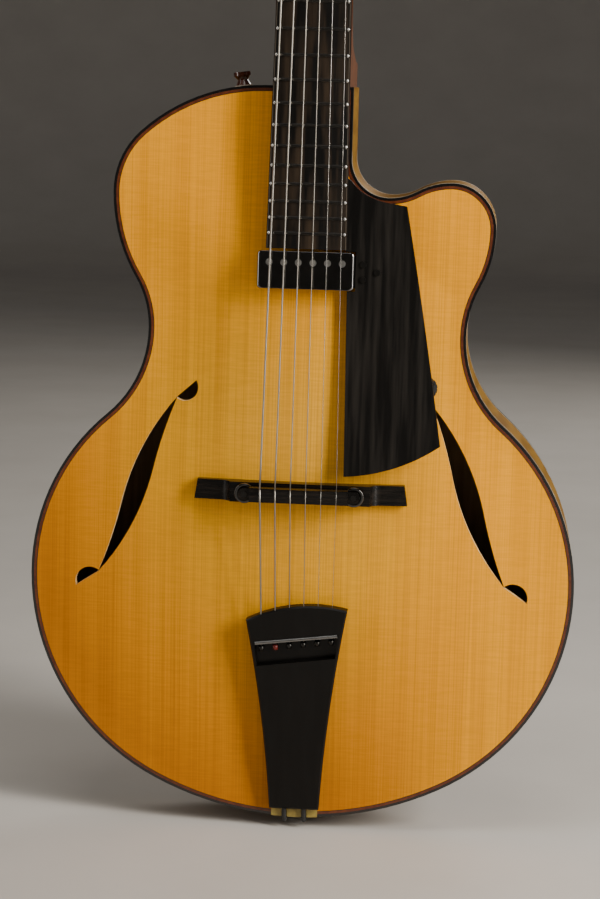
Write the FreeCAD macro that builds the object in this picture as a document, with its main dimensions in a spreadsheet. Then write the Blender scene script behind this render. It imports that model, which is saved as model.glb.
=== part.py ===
import FreeCAD, Part
import math
import os
from types import SimpleNamespace

import Sketcher
from FreeCAD import Placement, Rotation, Vector

# Archtop guitar with a carved top and back, one cutaway and a floating pickup.
# X runs to the treble side, Y to the back and Z up the neck. The origin is the mouth of the jack
# in the tail. Lengths are in millimetres. "Out" is a height in front of the top's rim.

SIZES = {
    # Outline of the body: half widths from the middle line, and drops down from the shoulder
    "body_length": 533.7,
    "lower_bout_half": 198.2,
    "lower_bout_drop": 357.0,
    "waist_half": 114.0,
    "waist_drop": 174.0,
    "upper_bout_half": 140.8,
    "upper_bout_drop": 77.3,
    "shoulder_half": 33.5,
    "horn_half": 132.6,
    "horn_side_drop": 97.9,
    "horn_tip_offset": 100.9,
    "horn_drop": 65.2,
    "cutaway_offset": 56.0,
    "cutaway_drop": 77.0,
    "cutaway_side": 28.8,
    "cutaway_rise": 26.8,
    # How full each stretch of the outline is: the share of its first arc over its second
    "tail_fullness": 0.53,
    "flank_fullness": 1.87,
    "upper_fullness": 0.58,
    "shoulder_fullness": 0.5,
    "horn_flank_fullness": 0.9,
    "horn_fullness": 1.86,
    "horn_inner_fullness": 1.23,
    "cutaway_fullness": 1.84,
    # Section of the body
    "rim_depth": 70.0,
    "plate_edge": 5.6,
    "top_arch": 15.5,
    "back_arch": 18.0,
    "flat_edge": 7.0,
    "arch_end": 3.0,
    "cross_fullness": 0.6,
    "long_fullness": 3.0,
    "cutaway_run_out": 70.0,
    "rib_thickness": 2.3,
    "binding_width": 1.9,
    "neck_block_length": 55.0,
    "neck_block_bass": 66.0,
    "tail_block_length": 25.0,
    "tail_block_half": 35.0,
    "tone_bar_width": 7.0,
    "tone_bar_height": 9.0,
    "tone_bar_length": 270.0,
    "tone_bar_offset": 34.0,
    "tone_bar_splay": 5.0,
    # The f-holes, placed from the bridge line and in from the edge between waist and lower bout
    "f_hole_inset": 36.15,
    "f_hole_drop": 5.1,
    "f_hole_half_span": 28.3,
    "f_hole_half_rise": 65.7,
    "f_hole_tip_angle": 41.2,
    "f_hole_tail_angle": 22.0,
    "f_hole_fullness": 1.64,
    "f_hole_eye": 19.5,
    "f_hole_eye_bulge": 8.2,
    "f_hole_eye_angle": 42.0,
    "f_hole_lower_eye": 20.9,
    "f_hole_lower_bulge": 7.8,
    "f_hole_lower_angle": 34.0,
    "f_hole_eye_lap": 1.2,
    # Neck, fingerboard and headstock
    "scale_length": 647.7,
    "neck_angle": 4.0,
    "join_offset": 4.2,
    "board_rise": 15.5,
    "board_thickness": 6.0,
    "board_radius": 305.0,
    "board_nut_half": 22.2,
    "board_end_half": 28.5,
    "board_tail": 10.8,
    "fret_count": 22,
    "fret_width": 2.6,
    "fret_crown": 1.1,
    "fret_inset": 0.6,
    "nut_thickness": 5.0,
    "neck_depth_nut": 15.5,
    "neck_depth_heel": 18.0,
    "heel_length": 62.0,
    "heel_foot": 17.0,
    "heel_half": 28.0,
    "heel_hollow": 0.5,
    "heel_cap_thickness": 2.5,
    "tongue_half": 20.0,
    "tongue_gap": 1.2,
    "truss_rod_width": 6.0,
    "truss_rod_height": 9.0,
    "truss_nut_radius": 2.8,
    "truss_rod_length": 420.0,
    "head_angle": 14.0,
    "head_length": 170.0,
    "head_thickness": 15.0,
    "head_waist_half": 31.0,
    "head_top_half": 38.5,
    "head_crest": 9.0,
    "truss_cover_length": 36.0,
    "truss_cover_half": 11.5,
    "truss_cover_tip_half": 6.5,
    "truss_cover_thickness": 2.0,
    "truss_cover_gap": 1.0,
    # Tuners
    "tuner_first": 44.0,
    "tuner_pitch": 40.0,
    "tuner_offset": 22.0,
    "tuner_flare": 2.0,
    "post_radius": 3.0,
    "post_height": 15.0,
    "housing_width": 16.0,
    "housing_length": 22.0,
    "housing_depth": 11.0,
    "housing_bevel": 1.8,
    "shaft_radius": 2.2,
    "worm_offset": 5.8,
    "knob_length": 13.0,
    "knob_half_width": 9.5,
    "knob_half_depth": 4.2,
    "knob_gap": 2.0,
    "knob_bevel": 1.2,
    # Strings
    "string_spread_nut": 36.4,
    "string_spread_saddle": 54.3,
    "string_spread_tail": 50.7,
    "string_over_nut": 1.5,
    "string_over_board": 4.7,
    "string_seat": 0.45,
    "string_bend": 6.0,
    "gauge_low_e": 1.32,
    "gauge_a": 1.07,
    "gauge_d": 0.81,
    "gauge_g": 0.61,
    "gauge_b": 0.41,
    "gauge_high_e": 0.31,
    "ball_radius": 1.9,
    "ball_length": 3.6,
    # Bridge
    "bridge_half": 76.5,
    "bridge_depth": 14.4,
    "bridge_set_back": 3.7,
    "bridge_base_height": 10.0,
    "bridge_wing_height": 6.0,
    "bridge_step_half": 50.0,
    "bridge_bevel": 9.0,
    "bridge_end_slant": 2.2,
    "post_spacing": 78.2,
    "stud_radius": 2.0,
    "stud_length": 9.6,
    "thumbwheel_radius": 7.2,
    "thumbwheel_thickness": 3.0,
    "thumbwheel_lift": 2.8,
    "knurl_count": 14,
    "knurl_depth": 0.5,
    "knurl_half": 0.65,
    "saddle_half": 35.0,
    "saddle_width": 10.5,
    "saddle_ear_radius": 4.3,
    "saddle_ear_height": 4.0,
    "saddle_crest": 1.6,
    "saddle_back_slope": 25.0,
    # Pickup and pickguard
    "guard_lean": 3.0,
    "guard_thickness": 4.0,
    "guard_out": 20.0,
    "guard_out_rise": 110.0,
    "guard_gap": 0.6,
    "guard_top_drop": 0.4,
    "guard_top_half": 69.6,
    "guard_foot_rise": 33.9,
    "guard_foot_half": 98.6,
    "guard_heel_rise": 10.0,
    "guard_heel_half": 31.0,
    "guard_foot_bulge": 5.0,
    "guard_foot_skew": 1.0,
    "guard_side_bulge": 0.9,
    "guard_cutaway_margin": 4.2,
    "guard_hollow_lift": 14.8,
    "pickup_length": 68.5,
    "pickup_width": 26.7,
    "pickup_height": 10.4,
    "pickup_rise": 155.0,
    "pickup_out": 24.2,
    "pickup_corner": 2.6,
    "pickup_wall": 0.8,
    "pickup_bevel": 0.6,
    "pole_spacing": 10.3,
    "pole_radius": 2.4,
    "pole_rise": 5.4,
    "pole_head": 0.7,
    "pole_slot": 0.8,
    "plate_thickness": 1.2,
    "plate_reach": 57.0,
    "plate_inset": 2.0,
    "small_screw_radius": 2.2,
    "small_screw_head": 1.0,
    "small_screw_gap": 6.0,
    "small_screw_half_rise": 5.3,
    "small_screw_step": 10.0,
    "guard_post_offset": 76.0,
    "guard_post_rise": 42.0,
    "guard_post_width": 9.0,
    "wheel_offset": 87.2,
    "wheel_rise": 74.0,
    "wheel_radius": 8.0,
    "wheel_thickness": 3.4,
    "wheel_gap": 0.4,
    "pot_width": 11.0,
    "pot_depth": 5.5,
    "pot_shaft_radius": 2.0,
    # Tailpiece and its cord
    "tailpiece_end_height": 7.4,
    "tailpiece_end_out": 7.0,
    "tailpiece_end_half": 18.2,
    "tailpiece_bass_over": 21.3426,
    "tailpiece_treble_over": 31.2426,
    "tailpiece_half": 36.6,
    "tailpiece_crown": 7.3,
    "tailpiece_waist": 2.4,
    "tailpiece_thickness": 6.4,
    "tailpiece_lean": 7.2,
    "tailpiece_edge": 1.2,
    "window_margin": 6.2,
    "window_top": 16.7,
    "window_length": 19.0,
    "window_taper": 2.0,
    "window_depth": 5.0,
    "bar_radius": 1.3,
    "cord_radius": 1.7,
    "cord_spread": 14.5,
    "cord_bend": 5.0,
    "cord_seat": 22.0,
    "saddle_block_half": 17.0,
    "saddle_block_height": 6.0,
    "saddle_block_out": 1.6,
    # Jack and strap button
    "jack_reach": 8.0,
    "jack_bore": 3.25,
    "jack_bore_depth": 32.0,
    "jack_barrel": 6.0,
    "jack_neck": 5.2,
    "jack_flange": 9.5,
    "jack_flange_thickness": 3.0,
    "jack_length": 40.0,
    "strap_button_offset": 52.7,
    "strap_button_height": 9.4,
    "strap_button_head": 6.2,
    "strap_button_waist": 3.6,
    "strap_button_foot": 5.4,
    "strap_stem": 3.0,
    "strap_stem_length": 24.0,
    "strap_washer_radius": 6.4,
    "strap_washer_thickness": 0.9,
    # Clearances
    "glue_line": 0.05,
    "running_fit": 0.1,
    "seat_gap": 0.15,
}

STRING_SIDES = 4
CORD_SIDES = 6
ARCH_COLUMNS = 8
ARCH_STRIPS = 26
NECK_STRIPS = 8

doc = FreeCAD.newDocument("archtop_guitar")
sheet = doc.addObject("Spreadsheet::Sheet", "Sizes")
for row, (alias, value) in enumerate(SIZES.items(), start=1):
    sheet.set(f"A{row}", alias)
    sheet.set(f"B{row}", str(value))
    sheet.setAlias(f"B{row}", alias)
doc.recompute()
size = SimpleNamespace(**{alias: float(sheet.get(alias)) for alias in SIZES})

parts = []


def keep(item, label):
    """Give a finished piece its name and put it on the list of sub-parts."""
    item.Label = label
    parts.append(item)
    return item


def feature(label, shape, placement=None):
    """A piece whose shape is made from curves, surfaces or several solids."""
    item = doc.addObject("Part::Feature", label)
    item.Shape = shape
    if placement:
        item.Placement = placement
    return keep(item, label)


# Shared places

tail_z = size.jack_reach
shoulder_z = tail_z + size.body_length
cutaway_low = size.body_length - size.cutaway_drop
cutaway_high = cutaway_low + size.cutaway_rise
cos_neck = math.cos(math.radians(size.neck_angle))
tan_neck = math.tan(math.radians(size.neck_angle))


def fret_distance(number):
    """Distance of a fret from the nut."""
    return size.scale_length * (1 - 2 ** (-number / 12))


JOIN_FRET = 14
nut_z = shoulder_z + size.join_offset + cos_neck * fret_distance(JOIN_FRET)
bridge_z = nut_z - cos_neck * size.scale_length
string_out = size.board_rise + (shoulder_z - bridge_z) * tan_neck + size.string_over_board


def front(out):
    """Y of a point that stands out in front of the top's rim."""
    return -size.rim_depth / 2 - out


def facing(x, out, z, lean=0.0):
    """A frame with X to the treble side, Y up the instrument and Z out of the top."""
    return Placement(Vector(x, front(out), z), Rotation(Vector(1, 0, 0), 90 - lean))


def board_out(z):
    """How far the middle of the fingerboard's face stands out at a height."""
    return size.board_rise + (shoulder_z - z) * tan_neck


neck_frame = facing(0, board_out(nut_z), nut_z, size.neck_angle)
head_origin = neck_frame.multVec(Vector(0, size.nut_thickness, -size.board_thickness))
head_frame = Placement(head_origin, Rotation(Vector(1, 0, 0), 90 - size.neck_angle - size.head_angle))

STRING_GAUGES = (
    size.gauge_low_e,
    size.gauge_a,
    size.gauge_d,
    size.gauge_g,
    size.gauge_b,
    size.gauge_high_e,
)
STRING_COUNT = len(STRING_GAUGES)
PLAIN_STRINGS = 2


def string_share(index):
    """Place of a string across the neck, from -1 on the bass side to 1 on the treble side."""
    return 2 * index / (STRING_COUNT - 1) - 1


# Curves

def biarc(start, start_dir, end, end_dir, fullness):
    """Two tangent arcs between two points with given directions, as three points each."""
    start_dir = Vector(start_dir).normalize()
    end_dir = Vector(end_dir).normalize()
    span = end - start
    square = 2 * fullness * (start_dir.dot(end_dir) - 1)
    linear = -2 * span.dot(start_dir * fullness + end_dir)
    constant = span.dot(span)
    if abs(square) < 1e-9:
        second = -constant / linear
    else:
        second = (-linear - math.sqrt(linear ** 2 - 4 * square * constant)) / (2 * square)
    first = fullness * second
    corner_a = start + start_dir * first
    corner_b = end - end_dir * second
    joint = (corner_a * second + corner_b * first) * (1 / (first + second))
    return [arc_points(start, corner_a, joint), arc_points(joint, corner_b, end)]


def arc_points(start, corner, end):
    """Start, middle and end of the arc that is tangent to both legs of a corner."""
    middle = (start + end) * 0.5
    half_chord = (end - start).Length / 2
    half_turn = math.acos(min(1.0, half_chord / (corner - start).Length))
    rise = half_chord * math.tan(half_turn / 2)
    return start, middle + (corner - middle).normalize() * rise, end


def arc_edge(points):
    return Part.Arc(*points).toShape()


def line_edge(start, end):
    return Part.LineSegment(start, end).toShape()


def rounded_path(points, radius):
    """Straight runs through the points, with an arc of one radius at each corner."""
    edges = []
    cursor = points[0]
    for before, corner, after in zip(points, points[1:], points[2:]):
        into = (corner - before).normalize()
        out_of = (after - corner).normalize()
        turn = into.getAngle(out_of)
        reach = radius * math.tan(turn / 2)
        start = corner - into * reach
        end = corner + out_of * reach
        edges.append(line_edge(cursor, start))
        edges.append(arc_edge(arc_points(start, corner, end)))
        cursor = end
    edges.append(line_edge(cursor, points[-1]))
    return Part.Wire(edges)


def corner_reach(radius, sides):
    """Corner radius of the regular polygon that has a circle's area."""
    return radius * math.sqrt(2 * math.pi / (sides * math.sin(2 * math.pi / sides)))


def tube(path, radius, sides):
    """A cord of a regular section along a path of runs and arcs."""
    first = path.OrderedEdges[0]
    start = first.valueAt(first.FirstParameter)
    reach = corner_reach(radius, sides)
    angles = [2 * math.pi * corner / sides for corner in range(sides)]
    corners = [Vector(reach * math.cos(angle), reach * math.sin(angle), 0) for angle in angles]
    section = Part.makePolygon(corners + corners[:1])
    section.Placement = Placement(start, Rotation(Vector(0, 0, 1), first.tangentAt(first.FirstParameter)))
    solid = path.makePipeShell([section], True, False)
    expected = math.pi * radius ** 2 * path.Length
    if abs(solid.Volume / expected - 1) > 0.01:
        raise ValueError("a tube's volume differs from its section times its length")
    return solid


# Outline of the body

def outline_point(x, height):
    return Vector(x, 0, tail_z + height)


def bout_point(x, drop):
    """A point of the outline, down from the shoulder."""
    return outline_point(x, size.body_length - drop)


def tangent_arcs(points, directions, fullness):
    """Arcs through points with given directions."""
    arcs = []
    stations = zip(points, directions, points[1:], directions[1:], fullness)
    for start, start_dir, end, end_dir, share in stations:
        arcs += biarc(start, start_dir, end, end_dir, share)
    return arcs


def bass_arcs():
    """The outline from the tail up the bass side to the shoulder."""
    up = Vector(0, 0, 1)
    points = [
        outline_point(0, 0),
        bout_point(-size.lower_bout_half, size.lower_bout_drop),
        bout_point(-size.waist_half, size.waist_drop),
        bout_point(-size.upper_bout_half, size.upper_bout_drop),
        outline_point(-size.shoulder_half, size.body_length),
    ]
    directions = [Vector(-1, 0, 0), up, up, up, Vector(1, 0, 0)]
    fullness = [size.tail_fullness, size.flank_fullness, size.upper_fullness, size.shoulder_fullness]
    return tangent_arcs(points, directions, fullness)


def treble_arcs():
    """The outline from the tail up the treble side, round the horn and into the cutaway."""
    up = Vector(0, 0, 1)
    left = Vector(-1, 0, 0)
    points = [
        outline_point(0, 0),
        bout_point(size.lower_bout_half, size.lower_bout_drop),
        bout_point(size.waist_half, size.waist_drop),
        bout_point(size.horn_half, size.horn_side_drop),
        bout_point(size.horn_tip_offset, size.horn_drop),
        outline_point(size.cutaway_offset, cutaway_low),
        outline_point(size.cutaway_side, cutaway_high),
    ]
    directions = [Vector(1, 0, 0), up, up, up, left, left, up]
    fullness = [
        size.tail_fullness,
        size.flank_fullness,
        size.horn_flank_fullness,
        size.horn_fullness,
        size.horn_inner_fullness,
        size.cutaway_fullness,
    ]
    return tangent_arcs(points, directions, fullness)


def draw_in(arc, side, inset):
    """An arc of one side of the outline, moved into the wood about its own centre."""
    circle = arc_edge(arc).Curve
    start, middle, end = arc
    travel = end - start
    inward = Vector(-side * travel.z, 0, side * travel.x)
    bend = 1 if inward.dot(circle.Center - middle) > 0 else -1
    share = 1 - bend * inset / circle.Radius
    return tuple(circle.Center + (point - circle.Center) * share for point in arc)


def outline(inset):
    """The body's closed outline in the X Z plane, drawn in by an inset."""
    bass = [draw_in(arc, -1, inset) for arc in bass_arcs()]
    treble = [draw_in(arc, 1, inset) for arc in treble_arcs()]
    corner = outline_point(size.cutaway_side - inset, size.body_length - inset)
    edges = [arc_edge(arc) for arc in bass + treble]
    edges += [line_edge(treble[-1][-1], corner), line_edge(corner, bass[-1][-1])]
    return Part.Wire(Part.__sortEdges__(edges))


def slab(inset, near, far):
    """The body's outline as a solid between two heights out from the top's rim."""
    face = Part.Face(outline(inset))
    face.translate(Vector(0, front(near), 0))
    return face.extrude(Vector(0, near - far, 0))


def ring(outer, inner, near, far):
    """A band that follows the outline between two insets."""
    return slab(outer, near, far).cut(slab(inner, near, far))


def block(x_low, x_high, near, far, z_low, z_high):
    """A box given by its sides, its heights out from the rim and its heights up the body."""
    corner = Vector(x_low, front(max(near, far)), z_low)
    return Part.makeBox(x_high - x_low, abs(near - far), z_high - z_low, corner)


# Arching of the plates

EDGE_POINTS = outline(size.flat_edge).discretize(Number=900)


def half_width(z, side):
    """Widest reach of the arched area on one side at a height."""
    reach = 0.0
    for start, end in zip(EDGE_POINTS, EDGE_POINTS[1:]):
        if (start.z - z) * (end.z - z) <= 0 and start.z != end.z:
            share = (z - start.z) / (end.z - start.z)
            reach = max(reach, side * (start.x + share * (end.x - start.x)))
    return reach


def arched_reach(z, side):
    """Half width that the arch rises over: it runs out to the neck before the cutaway."""
    full = half_width(z, -1)
    if side < 0:
        return full
    run_out_end = tail_z + cutaway_low - size.flat_edge
    share = (z - run_out_end) / size.cutaway_run_out + 1
    share = min(1.0, max(0.0, share))
    share = share * share * (3 - 2 * share)
    return full * (1 - share) + (size.cutaway_side - size.flat_edge) * share


arch_low = tail_z + size.flat_edge + size.arch_end
arch_high = shoulder_z - size.flat_edge - size.arch_end


def arch_span(z):
    """Middle and half width of the arched area at a height."""
    bass = half_width(z, -1)
    treble = arched_reach(z, 1)
    return (treble - bass) / 2, (treble + bass) / 2


def section_share(place):
    """Share of the arch's height across the plate, from -1 at one side to 1 at the other."""
    return (1 - place ** 2) ** 2 * (1 + size.cross_fullness * place ** 2)


def length_share(z):
    """Share of the arch's height along the plate."""
    along = abs(2 * (z - arch_low) / (arch_high - arch_low) - 1)
    return (1 - along ** size.long_fullness) ** 2


def arch_share(x, z):
    """Share of the arch's full height at one place on the plate."""
    middle, half = arch_span(z)
    return length_share(z) * section_share((x - middle) / half)


def arch_grid():
    """Rows of places across the arched area, with each one's share of the arch's height."""
    rows = []
    for station in range(ARCH_STRIPS + 1):
        turn = math.pi * station / ARCH_STRIPS
        z = (arch_low + arch_high) / 2 - (arch_high - arch_low) / 2 * math.cos(turn)
        middle, half = arch_span(z)
        places = [2 * column / ARCH_COLUMNS - 1 for column in range(ARCH_COLUMNS + 1)]
        rows.append([(middle + half * place, z, length_share(z) * section_share(place)) for place in places])
    return rows


ARCH = arch_grid()
TOP = -1
BACK = 1


def arch_solid(side, rise, outer, inner):
    """The arch between two levels out from the rim plane, drawn through its cross sections."""
    base = size.rim_depth / 2
    sections = []
    for row in ARCH:
        lines = []
        for level in (outer, inner):
            line = [Vector(x, side * (base + level + rise * share), z) for x, z, share in row]
            curve = Part.BSplineCurve()
            curve.interpolate(line)
            lines.append((line, curve.toShape()))
        (face, face_edge), (under, under_edge) = lines
        sections.append(Part.Wire([
            face_edge,
            line_edge(face[-1], under[-1]),
            under_edge.reversed(),
            line_edge(under[0], face[0]),
        ]))
    return Part.makeLoft(sections, True, True)


def top_surface(level):
    """Everything behind the top's arch, moved out by a level."""
    return arch_solid(TOP, size.top_arch, level, -size.rim_depth)


def arched_plate(side, rise, inset):
    """A carved plate: a flat rim, and an arch that runs out level into it."""
    rim_plane = side * size.rim_depth / 2
    rim = Part.Face(outline(inset))
    rim.translate(Vector(0, rim_plane, 0))
    bass_side = [Vector(row[0][0], rim_plane, row[0][1]) for row in ARCH]
    treble_side = [Vector(row[-1][0], rim_plane, row[-1][1]) for row in ARCH]
    arched_area = Part.Face(Part.makePolygon(bass_side + treble_side[::-1] + bass_side[:1]))
    rim = rim.cut(arched_area).extrude(Vector(0, -side * size.plate_edge, 0))
    return rim.fuse(arch_solid(side, rise, 0, -size.plate_edge))


def f_hole(side):
    """Cutter for one f-hole: a stem with a pointed tip at each end, and a half-moon eye on each tip."""
    edge = (size.waist_half + size.lower_bout_half) / 2
    centre = Vector(side * (edge - size.f_hole_inset), 0, bridge_z - size.f_hole_drop)

    def direction(angle):
        turn = math.radians(angle)
        return Vector(side * math.sin(turn), 0, -math.cos(turn))

    tip = centre + Vector(-side * size.f_hole_half_span, 0, size.f_hole_half_rise)
    tail = centre * 2 - tip
    outer = biarc(
        tip,
        direction(size.f_hole_tip_angle),
        tail,
        direction(size.f_hole_tail_angle),
        size.f_hole_fullness,
    )
    inner = [tuple(centre * 2 - point for point in arc) for arc in outer]
    stem = Part.Wire([arc_edge(arc) for arc in outer + inner])
    eyes = (
        (tip, 1, size.f_hole_eye, size.f_hole_eye_bulge, size.f_hole_eye_angle),
        (tail, -1, size.f_hole_lower_eye, size.f_hole_lower_bulge, size.f_hole_lower_angle),
    )
    wires = [stem]
    for point, way, length, bulge, angle in eyes:
        turn = math.radians(angle)
        along = Vector(-side * math.cos(turn), 0, math.sin(turn)) * way
        start = point - along * size.f_hole_eye_lap
        end = start + along * length
        belly = (start + end) * 0.5 + Vector(-side * along.z, 0, side * along.x) * bulge
        wires.append(Part.Wire([arc_edge((start, belly, end)), line_edge(end, start)]))
    deep = size.top_arch + 2 * size.plate_edge
    cutters = []
    for wire in wires:
        face = Part.Face(wire)
        face.translate(Vector(0, front(size.top_arch + size.plate_edge), 0))
        cutters.append(face.extrude(Vector(0, size.top_arch + deep, 0)))
    return cutters[0].fuse(cutters[1:])


def tail_notch(gap):
    """The step in the tail edge of the top that the saddle block is let into."""
    return block(
        -size.saddle_block_half - gap,
        size.saddle_block_half + gap,
        size.saddle_block_out,
        -size.plate_edge,
        tail_z - size.saddle_block_height,
        tail_z + size.saddle_block_height + gap,
    )


def make_plates():
    notch = tail_notch(size.glue_line)
    top = arched_plate(TOP, size.top_arch, size.binding_width + size.glue_line)
    feature("top_plate", top.cut([notch, f_hole(-1), f_hole(1)]))
    feature("top_binding", ring(0, size.binding_width, 0, -size.plate_edge).cut(notch))
    feature("back_plate", arched_plate(BACK, size.back_arch, 0))


def make_sides():
    near = -size.plate_edge - size.seat_gap
    far = -size.rim_depth - near
    band = ring(0, size.rib_thickness, near, far)
    reach = 2 * size.lower_bout_half
    seam = size.glue_line / 2
    jack_hole = Part.makeCylinder(size.jack_barrel + size.running_fit, tail_z + 2 * size.tail_block_length)
    bass = band.common(block(-reach, -seam, 0, -size.rim_depth, 0, shoulder_z))
    treble = band.common(block(seam, reach, 0, -size.rim_depth, 0, shoulder_z))
    feature("bass_rib", bass.cut([jack_hole, strap_hole()]))
    feature("treble_rib", treble.cut(jack_hole))
    inner = slab(size.rib_thickness + size.seat_gap, near, far)
    neck_space = block(-size.neck_block_bass, size.cutaway_side, near, far,
                       shoulder_z - size.neck_block_length, shoulder_z)
    tail_space = block(-size.tail_block_half, size.tail_block_half, near, far,
                       0, tail_z + size.tail_block_length)
    feature("neck_block", inner.common(neck_space).cut(strap_hole()))
    feature("tail_block", inner.common(tail_space).cut(jack_hole))


def make_tone_bars():
    """Two long bars glued under the top, fitted to its arch."""
    under = arch_solid(TOP, size.top_arch, -size.plate_edge - size.glue_line,
                       -size.plate_edge - size.tone_bar_height)
    bars = []
    for side in (-1, 1):
        blank = block(-size.tone_bar_width / 2, size.tone_bar_width / 2, size.top_arch,
                      -size.rim_depth / 2, -size.tone_bar_length / 2, size.tone_bar_length / 2)
        turn = Rotation(Vector(0, 1, 0), -side * size.tone_bar_splay)
        blank.Placement = Placement(Vector(side * size.tone_bar_offset, 0, bridge_z), turn)
        bars.append(blank.common(under))
    feature("tone_bars", Part.makeCompound(bars))


# Bodies with sketches

def new_body(label, placement):
    body = doc.addObject("PartDesign::Body", label)
    body.Placement = placement
    return keep(body, label)


def origin_plane(body, role):
    return next(item for item in body.Origin.OriginFeatures if item.Role == role)


def new_sketch(body, role="XY_Plane", height=0.0):
    sketch = body.newObject("Sketcher::SketchObject", body.Name + "_sketch")
    sketch.AttachmentSupport = [(origin_plane(body, role), "")]
    sketch.MapMode = "FlatFace"
    sketch.AttachmentOffset = Placement(Vector(0, 0, height), Rotation())
    return sketch


def draw(sketch, start, *moves):
    """A closed contour: each move is the end of a line, or a point on an arc and then its end."""
    first = sketch.GeometryCount
    cursor = start
    for move in moves:
        end = move[-2:]
        if len(move) == 2:
            edge = Part.LineSegment(Vector(*cursor), Vector(*end))
        else:
            edge = Part.Arc(Vector(*cursor), Vector(*move[:2]), Vector(*end))
        sketch.addGeometry(edge, False)
        cursor = end
    return first


def draw_rectangle(sketch, width, height):
    """A rectangle about the sketch's origin, bound to two sizes."""
    x = getattr(size, width) / 2
    y = getattr(size, height) / 2
    corners = [Vector(-x, -y), Vector(x, -y), Vector(x, y), Vector(-x, y)]
    for start, end in zip(corners, corners[1:] + corners[:1]):
        sketch.addGeometry(Part.LineSegment(start, end), False)
    for edge in range(4):
        sketch.addConstraint(Sketcher.Constraint("Coincident", edge, 2, (edge + 1) % 4, 1))
        sketch.addConstraint(Sketcher.Constraint("Vertical" if edge % 2 else "Horizontal", edge))
    sketch.addConstraint(Sketcher.Constraint("Symmetric", 0, 1, 1, 2, -1, 1))
    for axis, edge, alias in (("DistanceX", 0, width), ("DistanceY", 1, height)):
        number = sketch.addConstraint(Sketcher.Constraint(axis, edge, 1, edge, 2, getattr(size, alias)))
        sketch.setExpression(f"Constraints[{number}]", f"Sizes.{alias}")


def draw_circle(sketch, radius, extra=0.0, centre=(0.0, 0.0)):
    """A circle bound to a radius of the sheet, plus a clearance."""
    value = getattr(size, radius) + (getattr(size, extra) if extra else 0.0)
    edge = sketch.addGeometry(Part.Circle(Vector(*centre), Vector(0, 0, 1), value), False)
    number = sketch.addConstraint(Sketcher.Constraint("Radius", edge, value))
    formula = f"Sizes.{radius} + Sizes.{extra}" if extra else f"Sizes.{radius}"
    sketch.setExpression(f"Constraints[{number}]", formula)
    return edge


def pad(body, sketch, length, down=False, symmetric=False):
    item = body.newObject("PartDesign::Pad", body.Name + "_pad")
    item.Profile = sketch
    item.setExpression("Length", length)
    item.Reversed = down
    item.Midplane = symmetric
    doc.recompute()
    return item


def pocket(body, sketch, length, up=False, symmetric=False):
    """Cut a sketch into a body, and make sure that it cuts something."""
    before = body.Shape.Volume
    item = body.newObject("PartDesign::Pocket", body.Name + "_pocket")
    item.Profile = sketch
    item.setExpression("Length", length)
    item.Reversed = up
    item.Midplane = symmetric
    doc.recompute()
    if body.Shape.Volume >= before:
        raise ValueError(f"a pocket of {body.Label} cuts nothing")
    return item


def revolve(body, sketch):
    item = body.newObject("PartDesign::Revolution", body.Name + "_turned")
    item.Profile = sketch
    item.ReferenceAxis = (sketch, ["V_Axis"])
    item.Angle = 360
    doc.recompute()
    return item


def fillet(body, base, edges, radius):
    item = body.newObject("PartDesign::Fillet", body.Name + "_fillet")
    item.Base = (base, edges)
    item.setExpression("Radius", radius)
    doc.recompute()
    return item


def chamfer(body, base, edges, width):
    item = body.newObject("PartDesign::Chamfer", body.Name + "_chamfer")
    item.Base = (base, edges)
    item.setExpression("Size", width)
    doc.recompute()
    return item


def polar_pattern(body, base, count):
    item = body.newObject("PartDesign::PolarPattern", body.Name + "_pattern")
    item.Originals = [base]
    item.Axis = (origin_axis(body, "Z_Axis"), [""])
    item.Angle = 360
    item.setExpression("Occurrences", count)
    body.Tip = item
    doc.recompute()
    return item


def origin_axis(body, role):
    return next(item for item in body.Origin.OriginFeatures if item.Role == role)


def upright_edges(item):
    """Names of the straight edges along the sketch's normal."""
    names = []
    for number, edge in enumerate(item.Shape.Edges, start=1):
        start, end = (vertex.Point for vertex in (edge.Vertexes[0], edge.Vertexes[-1]))
        level = math.hypot(start.x - end.x, start.y - end.y)
        if edge.Curve.TypeId == "Part::GeomLine" and level < 1e-6:
            names.append(f"Edge{number}")
    return names


def edges_at(item, height):
    """Names of the edges that lie wholly at one local height."""
    names = []
    for number, edge in enumerate(item.Shape.Edges, start=1):
        box = edge.BoundBox
        if max(abs(box.ZMin - height), abs(box.ZMax - height)) < 1e-4:
            names.append(f"Edge{number}")
    return names


def remove(label, base, tools):
    """A piece cut by other objects, which are drawn only for the cut."""
    parts.remove(base)
    base.Label = label + "_blank"
    cutter = doc.addObject("Part::Feature", label + "_cutter")
    cutter.Shape = tools if isinstance(tools, Part.Shape) else Part.makeCompound(tools)
    item = doc.addObject("Part::Cut", label)
    item.Base = base
    item.Tool = cutter
    doc.recompute()
    return keep(item, label)


# Neck

BOARD_LENGTH = fret_distance(size.fret_count) + size.board_tail


def board_half(distance):
    """Half width of the fingerboard at a distance from the nut."""
    share = distance / BOARD_LENGTH
    return size.board_nut_half + (size.board_end_half - size.board_nut_half) * share


def under_board(z):
    """How far the underside of the fingerboard stands out at a height."""
    return board_out(z) - size.board_thickness / cos_neck - size.glue_line


def neck_section(z, depth):
    """A level section of the neck: flat under the fingerboard and one round arc at the back."""
    half = board_half(max(0.0, (nut_z - z) / cos_neck))
    out = under_board(z)
    left = Vector(-half, front(out), z)
    right = Vector(half, front(out), z)
    return Part.Wire([line_edge(left, right), arc_edge((right, Vector(0, front(out - depth), z), left))])


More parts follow.
